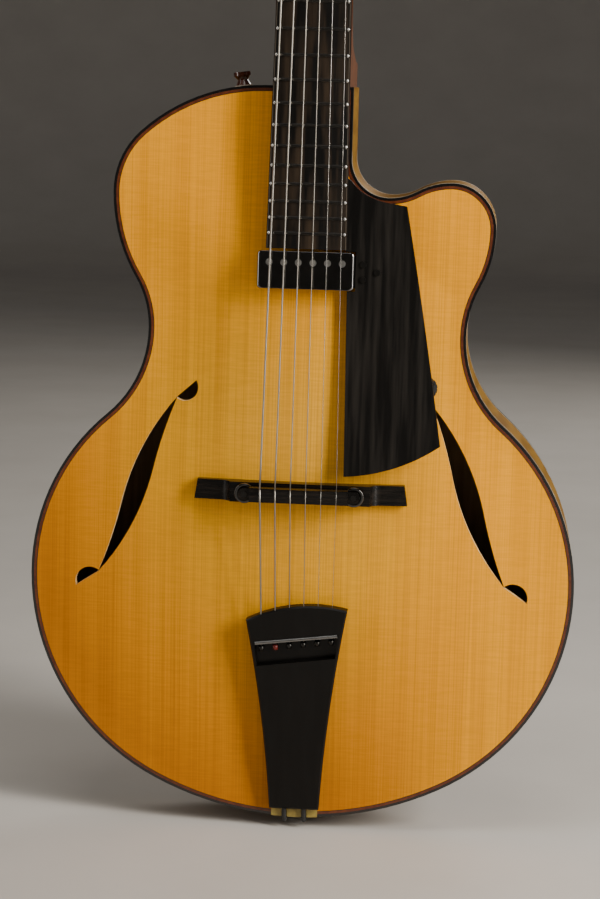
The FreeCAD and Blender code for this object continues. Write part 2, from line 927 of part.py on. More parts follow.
def heel_solid():
    """The heel: a tapered plan that a hollow curve in side view sweeps up into the neck."""
    foot_z = shoulder_z + size.glue_line
    top_z = shoulder_z + size.heel_length
    back = size.rim_depth / 2
    start = Vector(0, front(under_board(top_z)), top_z)
    end = Vector(0, back, shoulder_z + size.heel_foot)
    hollow = biarc(start, Vector(0, 0, -1), end, Vector(0, 1, 0), 1.0)
    foot_front = Vector(0, front(under_board(foot_z)), foot_z)
    foot_back = Vector(0, back, foot_z)
    edges = [arc_edge(arc) for arc in hollow]
    edges += [line_edge(end, foot_back), line_edge(foot_back, foot_front), line_edge(foot_front, start)]
    half = board_half((nut_z - shoulder_z) / cos_neck)
    side_view = Part.Face(Part.Wire(edges))
    side_view.translate(Vector(-half, 0, 0))
    side_view = side_view.extrude(Vector(2 * half, 0, 0))
    front_y = foot_front.y - size.heel_length
    middle_y = (foot_front.y + back) / 2
    middle_half = (half + size.heel_half) / 2 - size.heel_hollow
    plan = Part.Wire([
        line_edge(Vector(-half, front_y, 0), Vector(half, front_y, 0)),
        line_edge(Vector(half, front_y, 0), Vector(half, foot_front.y, 0)),
        arc_edge((Vector(half, foot_front.y, 0), Vector(middle_half, middle_y, 0),
                  Vector(size.heel_half, back, 0))),
        line_edge(Vector(size.heel_half, back, 0), Vector(-size.heel_half, back, 0)),
        arc_edge((Vector(-size.heel_half, back, 0), Vector(-middle_half, middle_y, 0),
                  Vector(-half, foot_front.y, 0))),
        line_edge(Vector(-half, foot_front.y, 0), Vector(-half, front_y, 0)),
    ])
    plan = Part.Face(plan).extrude(Vector(0, 0, nut_z))
    return side_view.common(plan)


def neck_tongue():
    """The strip of neck under the fingerboard's end, which clears the top."""
    end_z = nut_z - cos_neck * (BOARD_LENGTH - size.board_tail)
    foot_z = shoulder_z + size.glue_line
    corners = [
        Vector(-size.tongue_half, front(under_board(foot_z)), foot_z),
        Vector(-size.tongue_half, front(size.tongue_gap), foot_z),
        Vector(-size.tongue_half, front(size.tongue_gap), end_z),
        Vector(-size.tongue_half, front(under_board(end_z)), end_z),
    ]
    side_view = Part.Face(Part.makePolygon(corners + corners[:1]))
    return side_view.extrude(Vector(2 * size.tongue_half, 0, 0)).cut(top_surface(size.tongue_gap))


def head_contour():
    """Moves that draw the headstock in its own plane, from its bass corner at the nut."""
    nut_half = size.board_nut_half
    waist = size.head_waist_half
    top = size.head_top_half
    flare = size.tuner_first * 0.6
    edge = size.head_length - size.head_crest
    lap = size.nut_thickness * 2
    return (-nut_half, -lap), (
        (nut_half, -lap),
        (nut_half, 0),
        (nut_half + (waist - nut_half) * 0.25, flare * 0.55, waist, flare),
        (top, edge),
        (0, size.head_length, -top, edge),
        (-waist, flare),
        (-nut_half - (waist - nut_half) * 0.25, flare * 0.55, -nut_half, 0),
        (-nut_half, -lap),
    )


def contour_face(start, moves):
    edges = []
    cursor = start
    for move in moves:
        end = move[-2:]
        if len(move) == 2:
            edges.append(line_edge(Vector(*cursor), Vector(*end)))
        else:
            edges.append(arc_edge((Vector(*cursor), Vector(*move[:2]), Vector(*end))))
        cursor = end
    return Part.Face(Part.Wire(edges))


def tuner_places():
    """Side, X and distance up the headstock of each post, from the low string to the high one."""
    half = STRING_COUNT // 2
    places = []
    for index in range(STRING_COUNT):
        rank = index if index < half else STRING_COUNT - 1 - index
        side = -1 if index < half else 1
        x = side * (size.tuner_offset + rank * size.tuner_flare)
        places.append((side, x, size.tuner_first + rank * size.tuner_pitch))
    return places


def truss_pocket():
    """The channel under the fingerboard for the truss rod, open at the headstock."""
    width = size.truss_rod_width + 2 * size.glue_line
    box = Part.makeBox(width, size.truss_rod_length, size.truss_rod_height + size.glue_line)
    start = size.nut_thickness + size.truss_cover_length / 2 - size.truss_rod_length
    box.translate(Vector(-width / 2, start, -size.board_thickness - size.truss_rod_height - size.glue_line))
    box.Placement = neck_frame.multiply(box.Placement)
    return box


def make_neck():
    low = shoulder_z + size.glue_line
    high = nut_z + size.nut_thickness
    sections = []
    for station in range(NECK_STRIPS + 1):
        share = station / NECK_STRIPS
        depth = size.neck_depth_heel + (size.neck_depth_nut - size.neck_depth_heel) * share
        sections.append(neck_section(low + (high - low) * share, depth))
    shaft = Part.makeLoft(sections, True, True)
    head = contour_face(*head_contour()).extrude(Vector(0, 0, -size.head_thickness))
    head.Placement = head_frame
    holes = []
    for side, x, y in tuner_places():
        hole = Part.makeCylinder(size.post_radius + size.running_fit, 3 * size.head_thickness)
        hole.Placement = head_frame.multiply(Placement(Vector(x, y, -2 * size.head_thickness), Rotation()))
        holes.append(hole)
    reach = size.lower_bout_half
    above_board = Part.makeBox(2 * reach, 2 * size.scale_length, size.rim_depth)
    above_board.translate(Vector(-reach, size.nut_thickness - 2 * size.scale_length, -size.board_thickness))
    above_board.Placement = neck_frame.multiply(above_board.Placement)
    whole = shaft.fuse([heel_solid(), head, neck_tongue()])
    whole = whole.cut([truss_pocket(), above_board] + holes).removeSplitter()
    cap_y = size.rim_depth / 2 - size.heel_cap_thickness
    neck = whole.cut(Part.makeBox(2 * reach, reach, size.heel_length, Vector(-reach, cap_y, shoulder_z)))
    cap_start = Vector(-reach, cap_y + size.glue_line, shoulder_z)
    cap = whole.common(Part.makeBox(2 * reach, reach, size.heel_length, cap_start))
    feature("neck", neck)
    feature("heel_cap", cap)


def make_truss_rod():
    body = new_body("truss_rod", Placement())
    length = size.truss_rod_length - size.truss_cover_length
    bottom = -size.board_thickness - size.truss_rod_height
    start = size.nut_thickness + size.truss_cover_length / 2 - size.truss_rod_length
    body.Placement = neck_frame.multiply(Placement(Vector(0, start, bottom), Rotation(Vector(1, 0, 0), -90)))
    sketch = new_sketch(body)
    half = size.truss_rod_width / 2
    high = size.truss_rod_height - size.glue_line
    draw(sketch, (-half, 0), (half, 0), (half, -high), (-half, -high), (-half, 0))
    pad(body, sketch, "Sizes.truss_rod_length - Sizes.truss_cover_length")
    nut = new_sketch(body, height=length)
    draw_circle(nut, "truss_nut_radius", centre=(0, -high / 2))
    pad(body, nut, "Sizes.truss_cover_length / 4")


def make_fingerboard():
    body = new_body("fingerboard", neck_frame)
    sketch = new_sketch(body, height=-size.board_thickness)
    nut_half = size.board_nut_half
    end_half = size.board_end_half
    draw(
        sketch,
        (-nut_half, 0),
        (-end_half, -BOARD_LENGTH),
        (end_half, -BOARD_LENGTH),
        (nut_half, 0),
        (-nut_half, 0),
    )
    pad(body, sketch, "Sizes.board_thickness")
    camber_start = Vector(0, -1.5 * BOARD_LENGTH, -size.board_radius)
    camber = Part.makeCylinder(size.board_radius, 2 * BOARD_LENGTH, camber_start, Vector(0, 1, 0))
    high = Part.makeBox(4 * end_half, 2 * BOARD_LENGTH, size.board_thickness)
    high.translate(Vector(-2 * end_half, -1.5 * BOARD_LENGTH, -size.board_thickness / 2))
    off = high.cut(camber)
    off.Placement = neck_frame
    remove("fingerboard", body, off)


def make_frets():
    """Fret crowns: a flat-topped ridge turned about the fingerboard's long axis."""
    radius = size.board_radius + size.glue_line / 2
    half = size.fret_width / 2
    frets = []
    for number in range(1, int(size.fret_count) + 1):
        y = -fret_distance(number)
        reach = board_half(-y) - size.fret_inset
        turn = math.degrees(math.asin(reach / radius))
        crown = size.fret_crown
        profile = Part.makePolygon([
            Vector(0, y - half, 0),
            Vector(0, y - half / 2, crown),
            Vector(0, y + half / 2, crown),
            Vector(0, y + half, 0),
            Vector(0, y - half, 0),
        ])
        face = Part.Face(profile)
        face.translate(Vector(0, 0, size.glue_line / 2))
        axis_point = Vector(0, 0, -size.board_radius)
        face.rotate(axis_point, Vector(0, 1, 0), -turn)
        frets.append(face.revolve(axis_point, Vector(0, 1, 0), 2 * turn))
    feature("frets", Part.makeCompound(frets), neck_frame)


def make_nut():
    body = new_body("nut", neck_frame)
    sketch = new_sketch(body, "XZ_Plane", -size.glue_line)
    half = size.board_nut_half
    low = -size.board_thickness
    crown = size.string_over_nut - size.seat_gap
    drop = half ** 2 / (2 * size.board_radius)
    edge = crown - drop
    draw(sketch, (-half, low), (half, low), (half, edge), (0, crown, -half, edge), (-half, low))
    pad(body, sketch, "Sizes.nut_thickness", down=True)


# Headstock

def make_truss_cover():
    """The bell-shaped cover over the truss rod's end."""
    cover = new_body("truss_rod_cover", head_frame)
    sketch = new_sketch(cover, height=size.glue_line)
    low = size.truss_cover_gap
    long = size.truss_cover_length
    wide = size.truss_cover_half
    tip = size.truss_cover_tip_half
    draw(
        sketch,
        (-wide, low),
        (wide, low),
        (wide * 0.9, long * 0.4, tip, long * 0.75),
        (0, long, -tip, long * 0.75),
        (-wide * 0.9, long * 0.4, -wide, low),
    )
    pad(cover, sketch, "Sizes.truss_cover_thickness")


# Tuners

def housing_shape():
    """A closed gear housing with bevelled edges."""
    deep = size.housing_depth
    corner = Vector(-size.housing_width / 2, -size.housing_length / 2 - size.worm_offset / 2, -deep)
    box = Part.makeBox(size.housing_width, size.housing_length, deep, corner)
    bevelled = [edge for edge in box.Edges if edge.BoundBox.ZMin < -deep / 2]
    return box.makeChamfer(size.housing_bevel, bevelled)


def knob_shapes(side, x):
    """A worm shaft, and the flared button with bevelled edges on its end."""
    level = -size.head_thickness - size.housing_depth / 2
    inner = side * x + size.housing_width / 2 + size.running_fit
    outer = size.head_top_half + size.knob_gap
    length = outer - inner - size.glue_line
    shaft = Part.makeCylinder(size.shaft_radius, length, Vector(inner, 0, 0), Vector(1, 0, 0))
    end = outer + size.knob_length
    wide = size.knob_half_width
    clip = wide * 0.3
    contour = [
        (outer, -wide * 0.6),
        (end - clip, -wide),
        (end, -wide + clip),
        (end, wide - clip),
        (end - clip, wide),
        (outer, wide * 0.6),
    ]
    corners = [Vector(px, py, -size.knob_half_depth) for px, py in contour]
    plan = Part.Face(Part.makePolygon(corners + corners[:1]))
    button = plan.extrude(Vector(0, 0, 2 * size.knob_half_depth))
    level_edges = [edge for edge in button.Edges if edge.BoundBox.ZLength < 1e-6]
    button = button.makeChamfer(size.knob_bevel, level_edges)
    for shape in (shaft, button):
        if side < 0:
            shape.rotate(Vector(0, 0, 0), Vector(0, 0, 1), 180)
        shape.translate(Vector(-x, -size.worm_offset, level))
    return [shaft, button]


def make_tuners():
    housings = []
    below = Placement(Vector(0, 0, -size.head_thickness - size.glue_line), Rotation())
    for index, (side, x, y) in enumerate(tuner_places()):
        frame = head_frame.multiply(Placement(Vector(x, y, 0), Rotation()))
        housing = housing_shape()
        housing.Placement = frame.multiply(below)
        housings.append(housing)
        number = STRING_COUNT - index
        feature(f"tuner_knob_{number}", Part.makeCompound(knob_shapes(side, x)), frame)
        post = doc.addObject("Part::Cylinder", f"tuner_post_{number}")
        post.setExpression("Radius", "Sizes.post_radius")
        post.setExpression("Height", "Sizes.post_height + Sizes.head_thickness")
        post.Placement = frame.multiply(Placement(Vector(0, 0, -size.head_thickness), Rotation()))
        keep(post, f"tuner_post_{number}")
    feature("tuner_housings", Part.makeCompound(housings))


# Strings

saddle_z = bridge_z - size.bridge_set_back + size.saddle_width / 2 - size.saddle_crest / 2
tailpiece_frame = facing(0, size.tailpiece_end_out, tail_z + size.tailpiece_end_height, -size.tailpiece_lean)
# The tailpiece's upper corners stand a little above the middle between the tail and the bridge.
half_way = (bridge_z - tail_z) / 2
bass_rise = half_way + size.tailpiece_bass_over
treble_rise = half_way + size.tailpiece_treble_over


def tailpiece_chord(x):
    """Height up the tailpiece of the straight line between its two upper corners."""
    share = (x / size.tailpiece_half + 1) / 2
    return bass_rise + (treble_rise - bass_rise) * share


def bar_rise(x):
    """Height up the tailpiece of the string bar's middle."""
    return tailpiece_chord(x) - size.window_top - size.bar_radius - size.seat_gap


def post_touch(index):
    """Where a string first meets its post, in the headstock's frame."""
    side, x, y = tuner_places()[index]
    nut_point = head_frame.inverse().multVec(string_points(index)[2])
    start = Vector(nut_point.x, nut_point.y, 0)
    away = Vector(x, y, 0) - start
    radius = size.post_radius + corner_reach(STRING_GAUGES[index] / 2, STRING_SIDES) + size.glue_line
    turn = side * math.asin(radius / away.Length)
    heading = Rotation(Vector(0, 0, 1), math.degrees(turn)).multVec(away).normalize()
    level = Vector(0, 0, size.post_height / 2)
    return start + heading * math.sqrt(away.Length ** 2 - radius ** 2) + level


def string_points(index):
    """Corners of a string's line: anchor, saddle and nut, in the guitar's frame."""
    share = string_share(index)
    lift = corner_reach(STRING_GAUGES[index] / 2, STRING_SIDES)
    tail_x = share * size.string_spread_tail / 2
    anchor_y = bar_rise(tail_x) - size.bar_radius - size.ball_length / 2 - size.seat_gap
    anchor = tailpiece_frame.multVec(Vector(tail_x, anchor_y, -size.window_depth / 2))
    saddle_x = share * size.string_spread_saddle / 2
    saddle_out = string_out - saddle_x ** 2 / (2 * size.board_radius) + lift
    saddle = Vector(saddle_x, front(saddle_out), saddle_z)
    nut_x = share * size.string_spread_nut / 2
    nut_lift = size.string_over_nut - nut_x ** 2 / (2 * size.board_radius) + lift
    nut = neck_frame.multVec(Vector(nut_x, size.nut_thickness, nut_lift))
    return anchor, saddle, nut


def string_path(index):
    """A string from its ball end over the saddle and the nut to its post."""
    anchor, saddle, nut = string_points(index)
    return rounded_path([anchor, saddle, nut, head_frame.multVec(post_touch(index))], size.string_bend)


def string_holes():
    """Drilled holes for the strings in the tailpiece's upper edge."""
    holes = []
    for index, gauge in enumerate(STRING_GAUGES):
        anchor, saddle, nut = string_points(index)
        radius = corner_reach(gauge / 2, STRING_SIDES) + size.running_fit
        holes.append(Part.makeCylinder(radius, (saddle - anchor).Length / 2, anchor, saddle - anchor))
    return holes


def make_strings():
    groups = {"wound_strings": [], "plain_strings": []}
    for index, gauge in enumerate(STRING_GAUGES):
        anchor, saddle, nut = string_points(index)
        toward = (saddle - anchor).normalize()
        foot = anchor - toward * size.ball_length
        ball = Part.makeCylinder(size.ball_radius, size.ball_length, foot, toward)
        label = "plain_strings" if index >= STRING_COUNT - PLAIN_STRINGS else "wound_strings"
        groups[label] += [tube(string_path(index), gauge / 2, STRING_SIDES), ball]
    for label, shapes in groups.items():
        feature(label, Part.makeCompound(shapes))


# Bridge

base_z = bridge_z - size.bridge_set_back
base_top = size.top_arch + size.bridge_base_height
wheel_out = base_top + size.thumbwheel_lift
saddle_foot = wheel_out + size.thumbwheel_thickness + size.glue_line


def make_bridge():
    body = new_body("bridge_base", facing(0, 0, base_z))
    sketch = new_sketch(body, "XZ_Plane")
    half = size.bridge_half
    wing = size.top_arch * arch_share(half, base_z) + size.bridge_wing_height
    step = size.bridge_step_half
    foot = step + size.bridge_bevel
    shelf = wing + (base_top - wing) * 0.2
    draw(
        sketch,
        (-half, 0),
        (half, 0),
        (half, wing),
        (foot, shelf),
        (step + size.bridge_bevel * 0.3, (shelf * 2 + base_top) / 3, step, base_top),
        (-step, base_top),
        (-step - size.bridge_bevel * 0.3, (shelf * 2 + base_top) / 3, -foot, shelf),
        (-half, wing),
        (-half, 0),
    )
    pad(body, sketch, "Sizes.bridge_depth", symmetric=True)
    ends = new_sketch(body)
    low = -size.bridge_depth / 2
    slant = size.bridge_end_slant
    for side in (-1, 1):
        draw(ends, (side * half, low), (side * (half + slant), -low), (side * (half - slant), -low),
             (side * half, low))
    pocket(body, ends, "Sizes.top_arch + Sizes.bridge_base_height", up=True)
    remove("bridge_base", body, top_surface(size.seat_gap))
    studs = []
    for side in (-1, 1):
        stud = doc.addObject("Part::Cylinder", "stud")
        stud.setExpression("Radius", "Sizes.stud_radius")
        stud.setExpression("Height", "Sizes.stud_length")
        stud.Placement = facing(side * size.post_spacing / 2, base_top + size.glue_line, base_z)
        studs.append(stud)
    posts = doc.addObject("Part::Compound", "bridge_posts")
    posts.Links = studs
    keep(posts, "bridge_posts")
    for label, side in (("bass_thumbwheel", -1), ("treble_thumbwheel", 1)):
        make_thumbwheel(label, facing(side * size.post_spacing / 2, wheel_out, base_z),
                        "thumbwheel_radius", "thumbwheel_thickness", "stud_radius")
    make_saddle()


def make_thumbwheel(label, placement, radius, thickness, bore):
    """A wheel with a knurled rim."""
    body = new_body(label, placement)
    sketch = new_sketch(body)
    draw_circle(sketch, radius)
    if bore:
        draw_circle(sketch, bore, "running_fit")
    pad(body, sketch, f"Sizes.{thickness}")
    groove = new_sketch(body)
    rim = getattr(size, radius)
    inner = rim - size.knurl_depth
    outer = rim + size.knurl_depth
    wide = 2 * size.knurl_half
    draw(groove, (inner, 0), (outer, wide), (outer, -wide), (inner, 0))
    cut = pocket(body, groove, f"Sizes.{thickness}", up=True)
    polar_pattern(body, cut, "Sizes.knurl_count")
    return body


def make_saddle():
    """The bridge top: a crested bar with an ear over each thumbwheel."""
    body = new_body("bridge_saddle", facing(0, saddle_foot, base_z))
    ears = new_sketch(body)
    ear_x = size.post_spacing / 2
    ear = size.saddle_ear_radius
    draw(
        ears,
        (-ear_x, -ear),
        (ear_x, -ear),
        (ear_x + ear, 0, ear_x, ear),
        (-ear_x, ear),
        (-ear_x - ear, 0, -ear_x, -ear),
    )
    for side in (-1, 1):
        draw_circle(ears, "stud_radius", "running_fit", (side * ear_x, 0))
    pad(body, ears, "Sizes.saddle_ear_height")
    crest = string_out - size.string_seat - saddle_foot
    half = size.saddle_half
    drop = half ** 2 / (2 * size.board_radius)
    bar = new_sketch(body, "XZ_Plane")
    draw(bar, (-half, 0), (half, 0), (half, crest - drop), (0, crest, -half, crest - drop), (-half, 0))
    pad(body, bar, "Sizes.saddle_width", symmetric=True)
    slope = new_sketch(body, "YZ_Plane")
    edge = size.saddle_width / 2 - size.saddle_crest
    back = -size.saddle_width
    fall = (edge - back) * math.tan(math.radians(size.saddle_back_slope))
    over = crest * 2
    draw(slope, (edge, over), (back, over), (back, crest - fall), (edge, crest), (edge, over))
    pocket(body, slope, "Sizes.saddle_half * 3", symmetric=True)


# Pickup and pickguard

tan_guard = math.tan(math.radians(size.guard_lean))
cos_guard = math.cos(math.radians(size.guard_lean))
guard_frame = facing(0, size.guard_out, bridge_z + size.guard_out_rise, size.guard_lean)
pickup_foot = size.pickup_out - size.pickup_height / cos_guard
pickup_frame = facing(0, pickup_foot, bridge_z + size.pickup_rise, size.guard_lean)


def guard_under(rise):
    """How far the pickguard's underside stands out at a rise above the bridge line."""
    return size.guard_out + (size.guard_out_rise - rise) * tan_guard - size.guard_thickness / cos_guard


def guard_point(x, rise):
    """A place on the pickguard in its own frame."""
    return x, (rise - size.guard_out_rise) / cos_guard


def pole_places():
    first = -(STRING_COUNT - 1) / 2
    return [(size.pole_spacing * (first + index), size.pole_rise) for index in range(STRING_COUNT)]


def guard_screw_places():
    """Screws that hold the pickup's plate under the pickguard, as X and rise."""
    near = size.pickup_length / 2 + size.small_screw_gap
    return [
        (near, size.pickup_rise + size.small_screw_half_rise),
        (near + size.small_screw_step, size.pickup_rise),
        (near, size.pickup_rise - size.small_screw_half_rise),
    ]


def make_pickup():
    cover = new_body("pickup_cover", pickup_frame)
    sketch = new_sketch(cover)
    draw_rectangle(sketch, "pickup_length", "pickup_width")
    blank = pad(cover, sketch, "Sizes.pickup_height")
    rounded = fillet(cover, blank, upright_edges(blank), "Sizes.pickup_corner")
    chamfer(cover, rounded, edges_at(rounded, size.pickup_height), "Sizes.pickup_bevel")
    hollow = new_sketch(cover)
    x = size.pickup_length / 2 - size.pickup_wall
    y = size.pickup_width / 2 - size.pickup_wall
    draw(hollow, (-x, -y), (x, -y), (x, y), (-x, y), (-x, -y))
    pocket(cover, hollow, "Sizes.pickup_height - Sizes.pickup_wall", up=True)

    inner = new_body("pickup_body", pickup_frame)
    plate_top = (guard_under(size.pickup_rise) - pickup_foot) * cos_guard - size.glue_line
    plate_top = min(plate_top, -size.glue_line)
    plate = new_sketch(inner, height=plate_top)
    left = size.pickup_length / 2 - size.plate_inset
    deep = size.pickup_width / 2 - size.plate_inset
    right = size.plate_reach
    draw(plate, (-left, -deep), (right, -deep), (right, deep), (-left, deep), (-left, -deep))
    pad(inner, plate, "Sizes.plate_thickness", down=True)
    coil = new_sketch(inner, height=plate_top)
    gap = size.pickup_wall + size.seat_gap
    x = size.pickup_length / 2 - gap
    y = size.pickup_width / 2 - gap
    draw(coil, (-x, -y), (x, -y), (x, y), (-x, y), (-x, -y))
    pad(inner, coil, f"Sizes.pickup_height - Sizes.pickup_wall - Sizes.seat_gap - ({plate_top})")

    screws = []
    low = size.pickup_height + size.glue_line
    for x, y in pole_places():
        screw = Part.makeCylinder(size.pole_radius, size.pole_head, Vector(x, y, low))
        slot_start = Vector(x - 2 * size.pole_radius, y - size.pole_slot / 2, low + size.pole_head / 2)
        slot = Part.makeBox(4 * size.pole_radius, size.pole_slot, size.pole_head, slot_start)
        screws.append(screw.cut(slot))
    feature("pickup_pole_screws", Part.makeCompound(screws), pickup_frame)


def make_pickguard():
    body = new_body("pickguard", guard_frame)
    sketch = new_sketch(body)
    board_side = size.board_end_half + size.guard_gap
    hollow_x = size.cutaway_offset
    hollow_rise = tail_z + cutaway_low - bridge_z - size.guard_cutaway_margin
    hollow_width = hollow_x - board_side
    radius = (hollow_width ** 2 + size.guard_hollow_lift ** 2) / (2 * size.guard_hollow_lift)
    middle = math.atan2(size.guard_hollow_lift, hollow_width)
    notch_x = size.pickup_length / 2 + size.guard_gap
    notch_half = size.pickup_width / 2 + size.guard_gap
    notch_middle = guard_frame.inverse().multVec(pickup_frame.Base).y
    top = (size.guard_top_half, hollow_rise - size.guard_top_drop)
    foot = (size.guard_foot_half, size.guard_foot_rise)
    heel = (size.guard_heel_half, size.guard_heel_rise)
    side_middle = ((top[0] + foot[0]) / 2 + size.guard_side_bulge, (top[1] + foot[1]) / 2)
    foot_middle = (
        (foot[0] + heel[0]) / 2 + size.guard_foot_skew,
        (foot[1] + heel[1]) / 2 - size.guard_foot_bulge,
    )
    draw(
        sketch,
        guard_point(*top),
        guard_point(*side_middle) + guard_point(*foot),
        guard_point(*foot_middle) + guard_point(*heel),
        (board_side, notch_middle - notch_half),
        (notch_x, notch_middle - notch_half),
        (notch_x, notch_middle + notch_half),
        (board_side, notch_middle + notch_half),
        guard_point(board_side, hollow_rise + size.guard_hollow_lift),
        guard_point(hollow_x - radius * math.sin(middle), hollow_rise + radius * (1 - math.cos(middle)))
        + guard_point(hollow_x, hollow_rise),
        guard_point(*top),
    )
    pad(body, sketch, "Sizes.guard_thickness", down=True)

    post_z = bridge_z + size.guard_post_rise
    post = new_body("pickguard_post", facing(size.guard_post_offset, 0, post_z, size.guard_lean))
    sketch = new_sketch(post)
    draw_rectangle(sketch, "guard_post_width", "guard_post_width")
    pad(post, sketch, str((guard_under(size.guard_post_rise) - size.glue_line) * cos_guard))
    remove("pickguard_post", post, top_surface(size.seat_gap))

    wheel_top = guard_under(size.wheel_rise) - size.glue_line
    place = facing(size.wheel_offset, wheel_top, bridge_z + size.wheel_rise, size.guard_lean)
    pot = new_body("volume_pot", place)
    sketch = new_sketch(pot)
    draw_rectangle(sketch, "pot_width", "pot_width")
    pad(pot, sketch, "Sizes.pot_depth", down=True)
    depth = size.pot_depth + size.wheel_gap + size.wheel_thickness
    lower = place.multiply(Placement(Vector(0, 0, -depth), Rotation()))
    wheel = make_thumbwheel("volume_wheel", lower, "wheel_radius", "wheel_thickness", None)
    shaft = new_sketch(wheel)
    draw_circle(shaft, "pot_shaft_radius")
    pad(wheel, shaft, "Sizes.wheel_thickness + Sizes.wheel_gap - Sizes.running_fit")


def make_small_screws():
    """Heads of the screws that hold the pickup's plate under the pickguard."""
    screws = []
    for place in guard_screw_places():
        seat = Vector(*guard_point(*place)) + Vector(0, 0, size.glue_line)
        screws.append(Part.makeCylinder(size.small_screw_radius, size.small_screw_head, seat))
    feature("small_screws", Part.makeCompound(screws), guard_frame)


# Tailpiece, its cord and the tail

def make_tailpiece():
    body = new_body("tailpiece", tailpiece_frame)
    sketch = new_sketch(body)
    end = size.tailpiece_end_half
    half = size.tailpiece_half
    waist = (end + half) / 2 - size.tailpiece_waist
    crown = (bass_rise + treble_rise) / 2 + size.tailpiece_crown
    draw(
        sketch,
        (-end, 0),
        (end, 0),
        (waist, treble_rise / 2, half, treble_rise),
        (size.tailpiece_crown / 2, crown, -half, bass_rise),
        (-waist, bass_rise / 2, -end, 0),
    )
    blank = pad(body, sketch, "Sizes.tailpiece_thickness", down=True)
    chamfer(body, blank, edges_at(blank, 0), "Sizes.tailpiece_edge")
    window = new_sketch(body)
    wide = half - size.window_margin
    narrow = wide - size.window_taper
    high = [tailpiece_chord(x) - size.window_top for x in (-wide, wide)]
    draw(
        window,
        (-wide, high[0]),
        (-narrow, high[0] - size.window_length),
        (narrow, high[1] - size.window_length),
        (wide, high[1]),
        (-wide, high[0]),
    )
    pocket(body, window, "Sizes.window_depth")
    cord_room = tube(cord_path(), size.cord_radius + size.seat_gap, CORD_SIDES)
    remove("tailpiece", body, string_holes() + [cord_room])

    wide -= size.bar_radius / 2
    depth = -size.window_depth / 2 + size.bar_radius + size.gauge_low_e
    start = Vector(-wide, bar_rise(-wide), depth)
    along = Vector(wide, bar_rise(wide), depth) - start
    bar = doc.addObject("Part::Cylinder", "tailpiece_bar")
    bar.setExpression("Radius", "Sizes.bar_radius")
    bar.Height = along.Length
    bar.Placement = tailpiece_frame.multiply(Placement(start, Rotation(Vector(0, 0, 1), along)))
    keep(bar, "tailpiece_bar")


def cord_corners(side):
    """One strand's seat in the tailpiece, its corner under the tail's edge and its end beside the jack."""
    x = side * size.cord_spread / 2
    level = tail_z - corner_reach(size.cord_radius + size.seat_gap, CORD_SIDES) - size.seat_gap
    inside = tailpiece_frame.multVec(Vector(x, size.cord_seat, -size.tailpiece_thickness / 2))
    leaving = tailpiece_frame.multVec(Vector(x, 0, -size.tailpiece_thickness / 2))
    drop = (leaving.z - level) / (inside.z - leaving.z)
    return inside, leaving + (leaving - inside) * drop, Vector(x, 0, level)


def cord_path():
    """The tail cord: out of the tailpiece, over the saddle block, round the jack and back."""
    strands = [rounded_path(cord_corners(side), size.cord_bend).OrderedEdges for side in (-1, 1)]
    start, end = [cord_corners(side)[-1] for side in (-1, 1)]
    loop = arc_edge((start, Vector(0, size.cord_spread / 2, start.z), end))
    return Part.Wire(Part.__sortEdges__(strands[0] + [loop] + strands[1]))


def cord_groove(side):
    """A slot with a bevelled edge, for one strand of the cord in the saddle block."""
    reach = corner_reach(size.cord_radius + size.seat_gap, CORD_SIDES)
    inside, corner, end = cord_corners(side)
    bend = rounded_path((inside, corner, end), size.cord_bend).OrderedEdges[1]
    turn_start, turn_end = (bend.valueAt(share) for share in (bend.FirstParameter, bend.LastParameter))
    into_wood = [(bend.Curve.Center - point).normalize() * reach for point in (turn_start, turn_end)]
    low = end.z - 2 * reach
    outer = corner.y - 4 * reach
    contour = [
        inside + into_wood[0],
        turn_start + into_wood[0],
        turn_end + into_wood[1],
        end + into_wood[1],
        Vector(end.x, end.y, low),
        Vector(end.x, outer, low),
        Vector(end.x, outer, inside.z),
    ]
    face = Part.Face(Part.makePolygon(contour + contour[:1]))
    face.translate(Vector(-reach, 0, 0))
    return face.extrude(Vector(2 * reach, 0, 0))


def make_tail():
    feature("tail_cord", tube(cord_path(), size.cord_radius, CORD_SIDES))
    saddle = tail_notch(0).common(slab(0, size.rim_depth / 2, -size.rim_depth / 2))
    feature("tail_saddle", saddle.cut([cord_groove(-1), cord_groove(1)]))

    jack = new_body("end_pin_jack", Placement())
    sketch = new_sketch(jack, "XZ_Plane")
    flange = size.jack_flange
    thick = size.jack_flange_thickness
    high = tail_z + size.jack_length
    draw(
        sketch,
        (size.jack_bore, 0),
        (flange, 0),
        (flange, thick),
        (size.jack_neck, thick),
        (size.jack_neck, tail_z + size.glue_line),
        (size.jack_barrel, tail_z + size.glue_line),
        (size.jack_barrel, high),
        (0, high),
        (0, size.jack_bore_depth),
        (size.jack_bore, size.jack_bore_depth),
        (size.jack_bore, 0),
    )
    revolve(jack, sketch)


# Strap button

def strap_frame():
    """Place of the strap button on the bass shoulder, square to the rib."""
    edge = outline(0)

    def rim(x):
        low = Vector(x, 0, shoulder_z - size.neck_block_length)
        ray = line_edge(low, Vector(x, 0, shoulder_z + size.rib_thickness))
        return edge.distToShape(ray)[1][0][0]
    here = rim(-size.strap_button_offset)
    apart = size.strap_stem / 2
    along = rim(apart - size.strap_button_offset) - rim(-apart - size.strap_button_offset)
    return Placement(here, Rotation(Vector(0, 0, 1), Vector(-along.z, 0, along.x)))


def strap_hole():
    """The hole for the strap button's stem in the rib and the block."""
    hole = Part.makeCylinder(size.strap_stem + size.running_fit, 2 * size.strap_stem_length,
                             Vector(0, 0, -size.strap_stem_length))
    hole.Placement = strap_frame()
    return hole


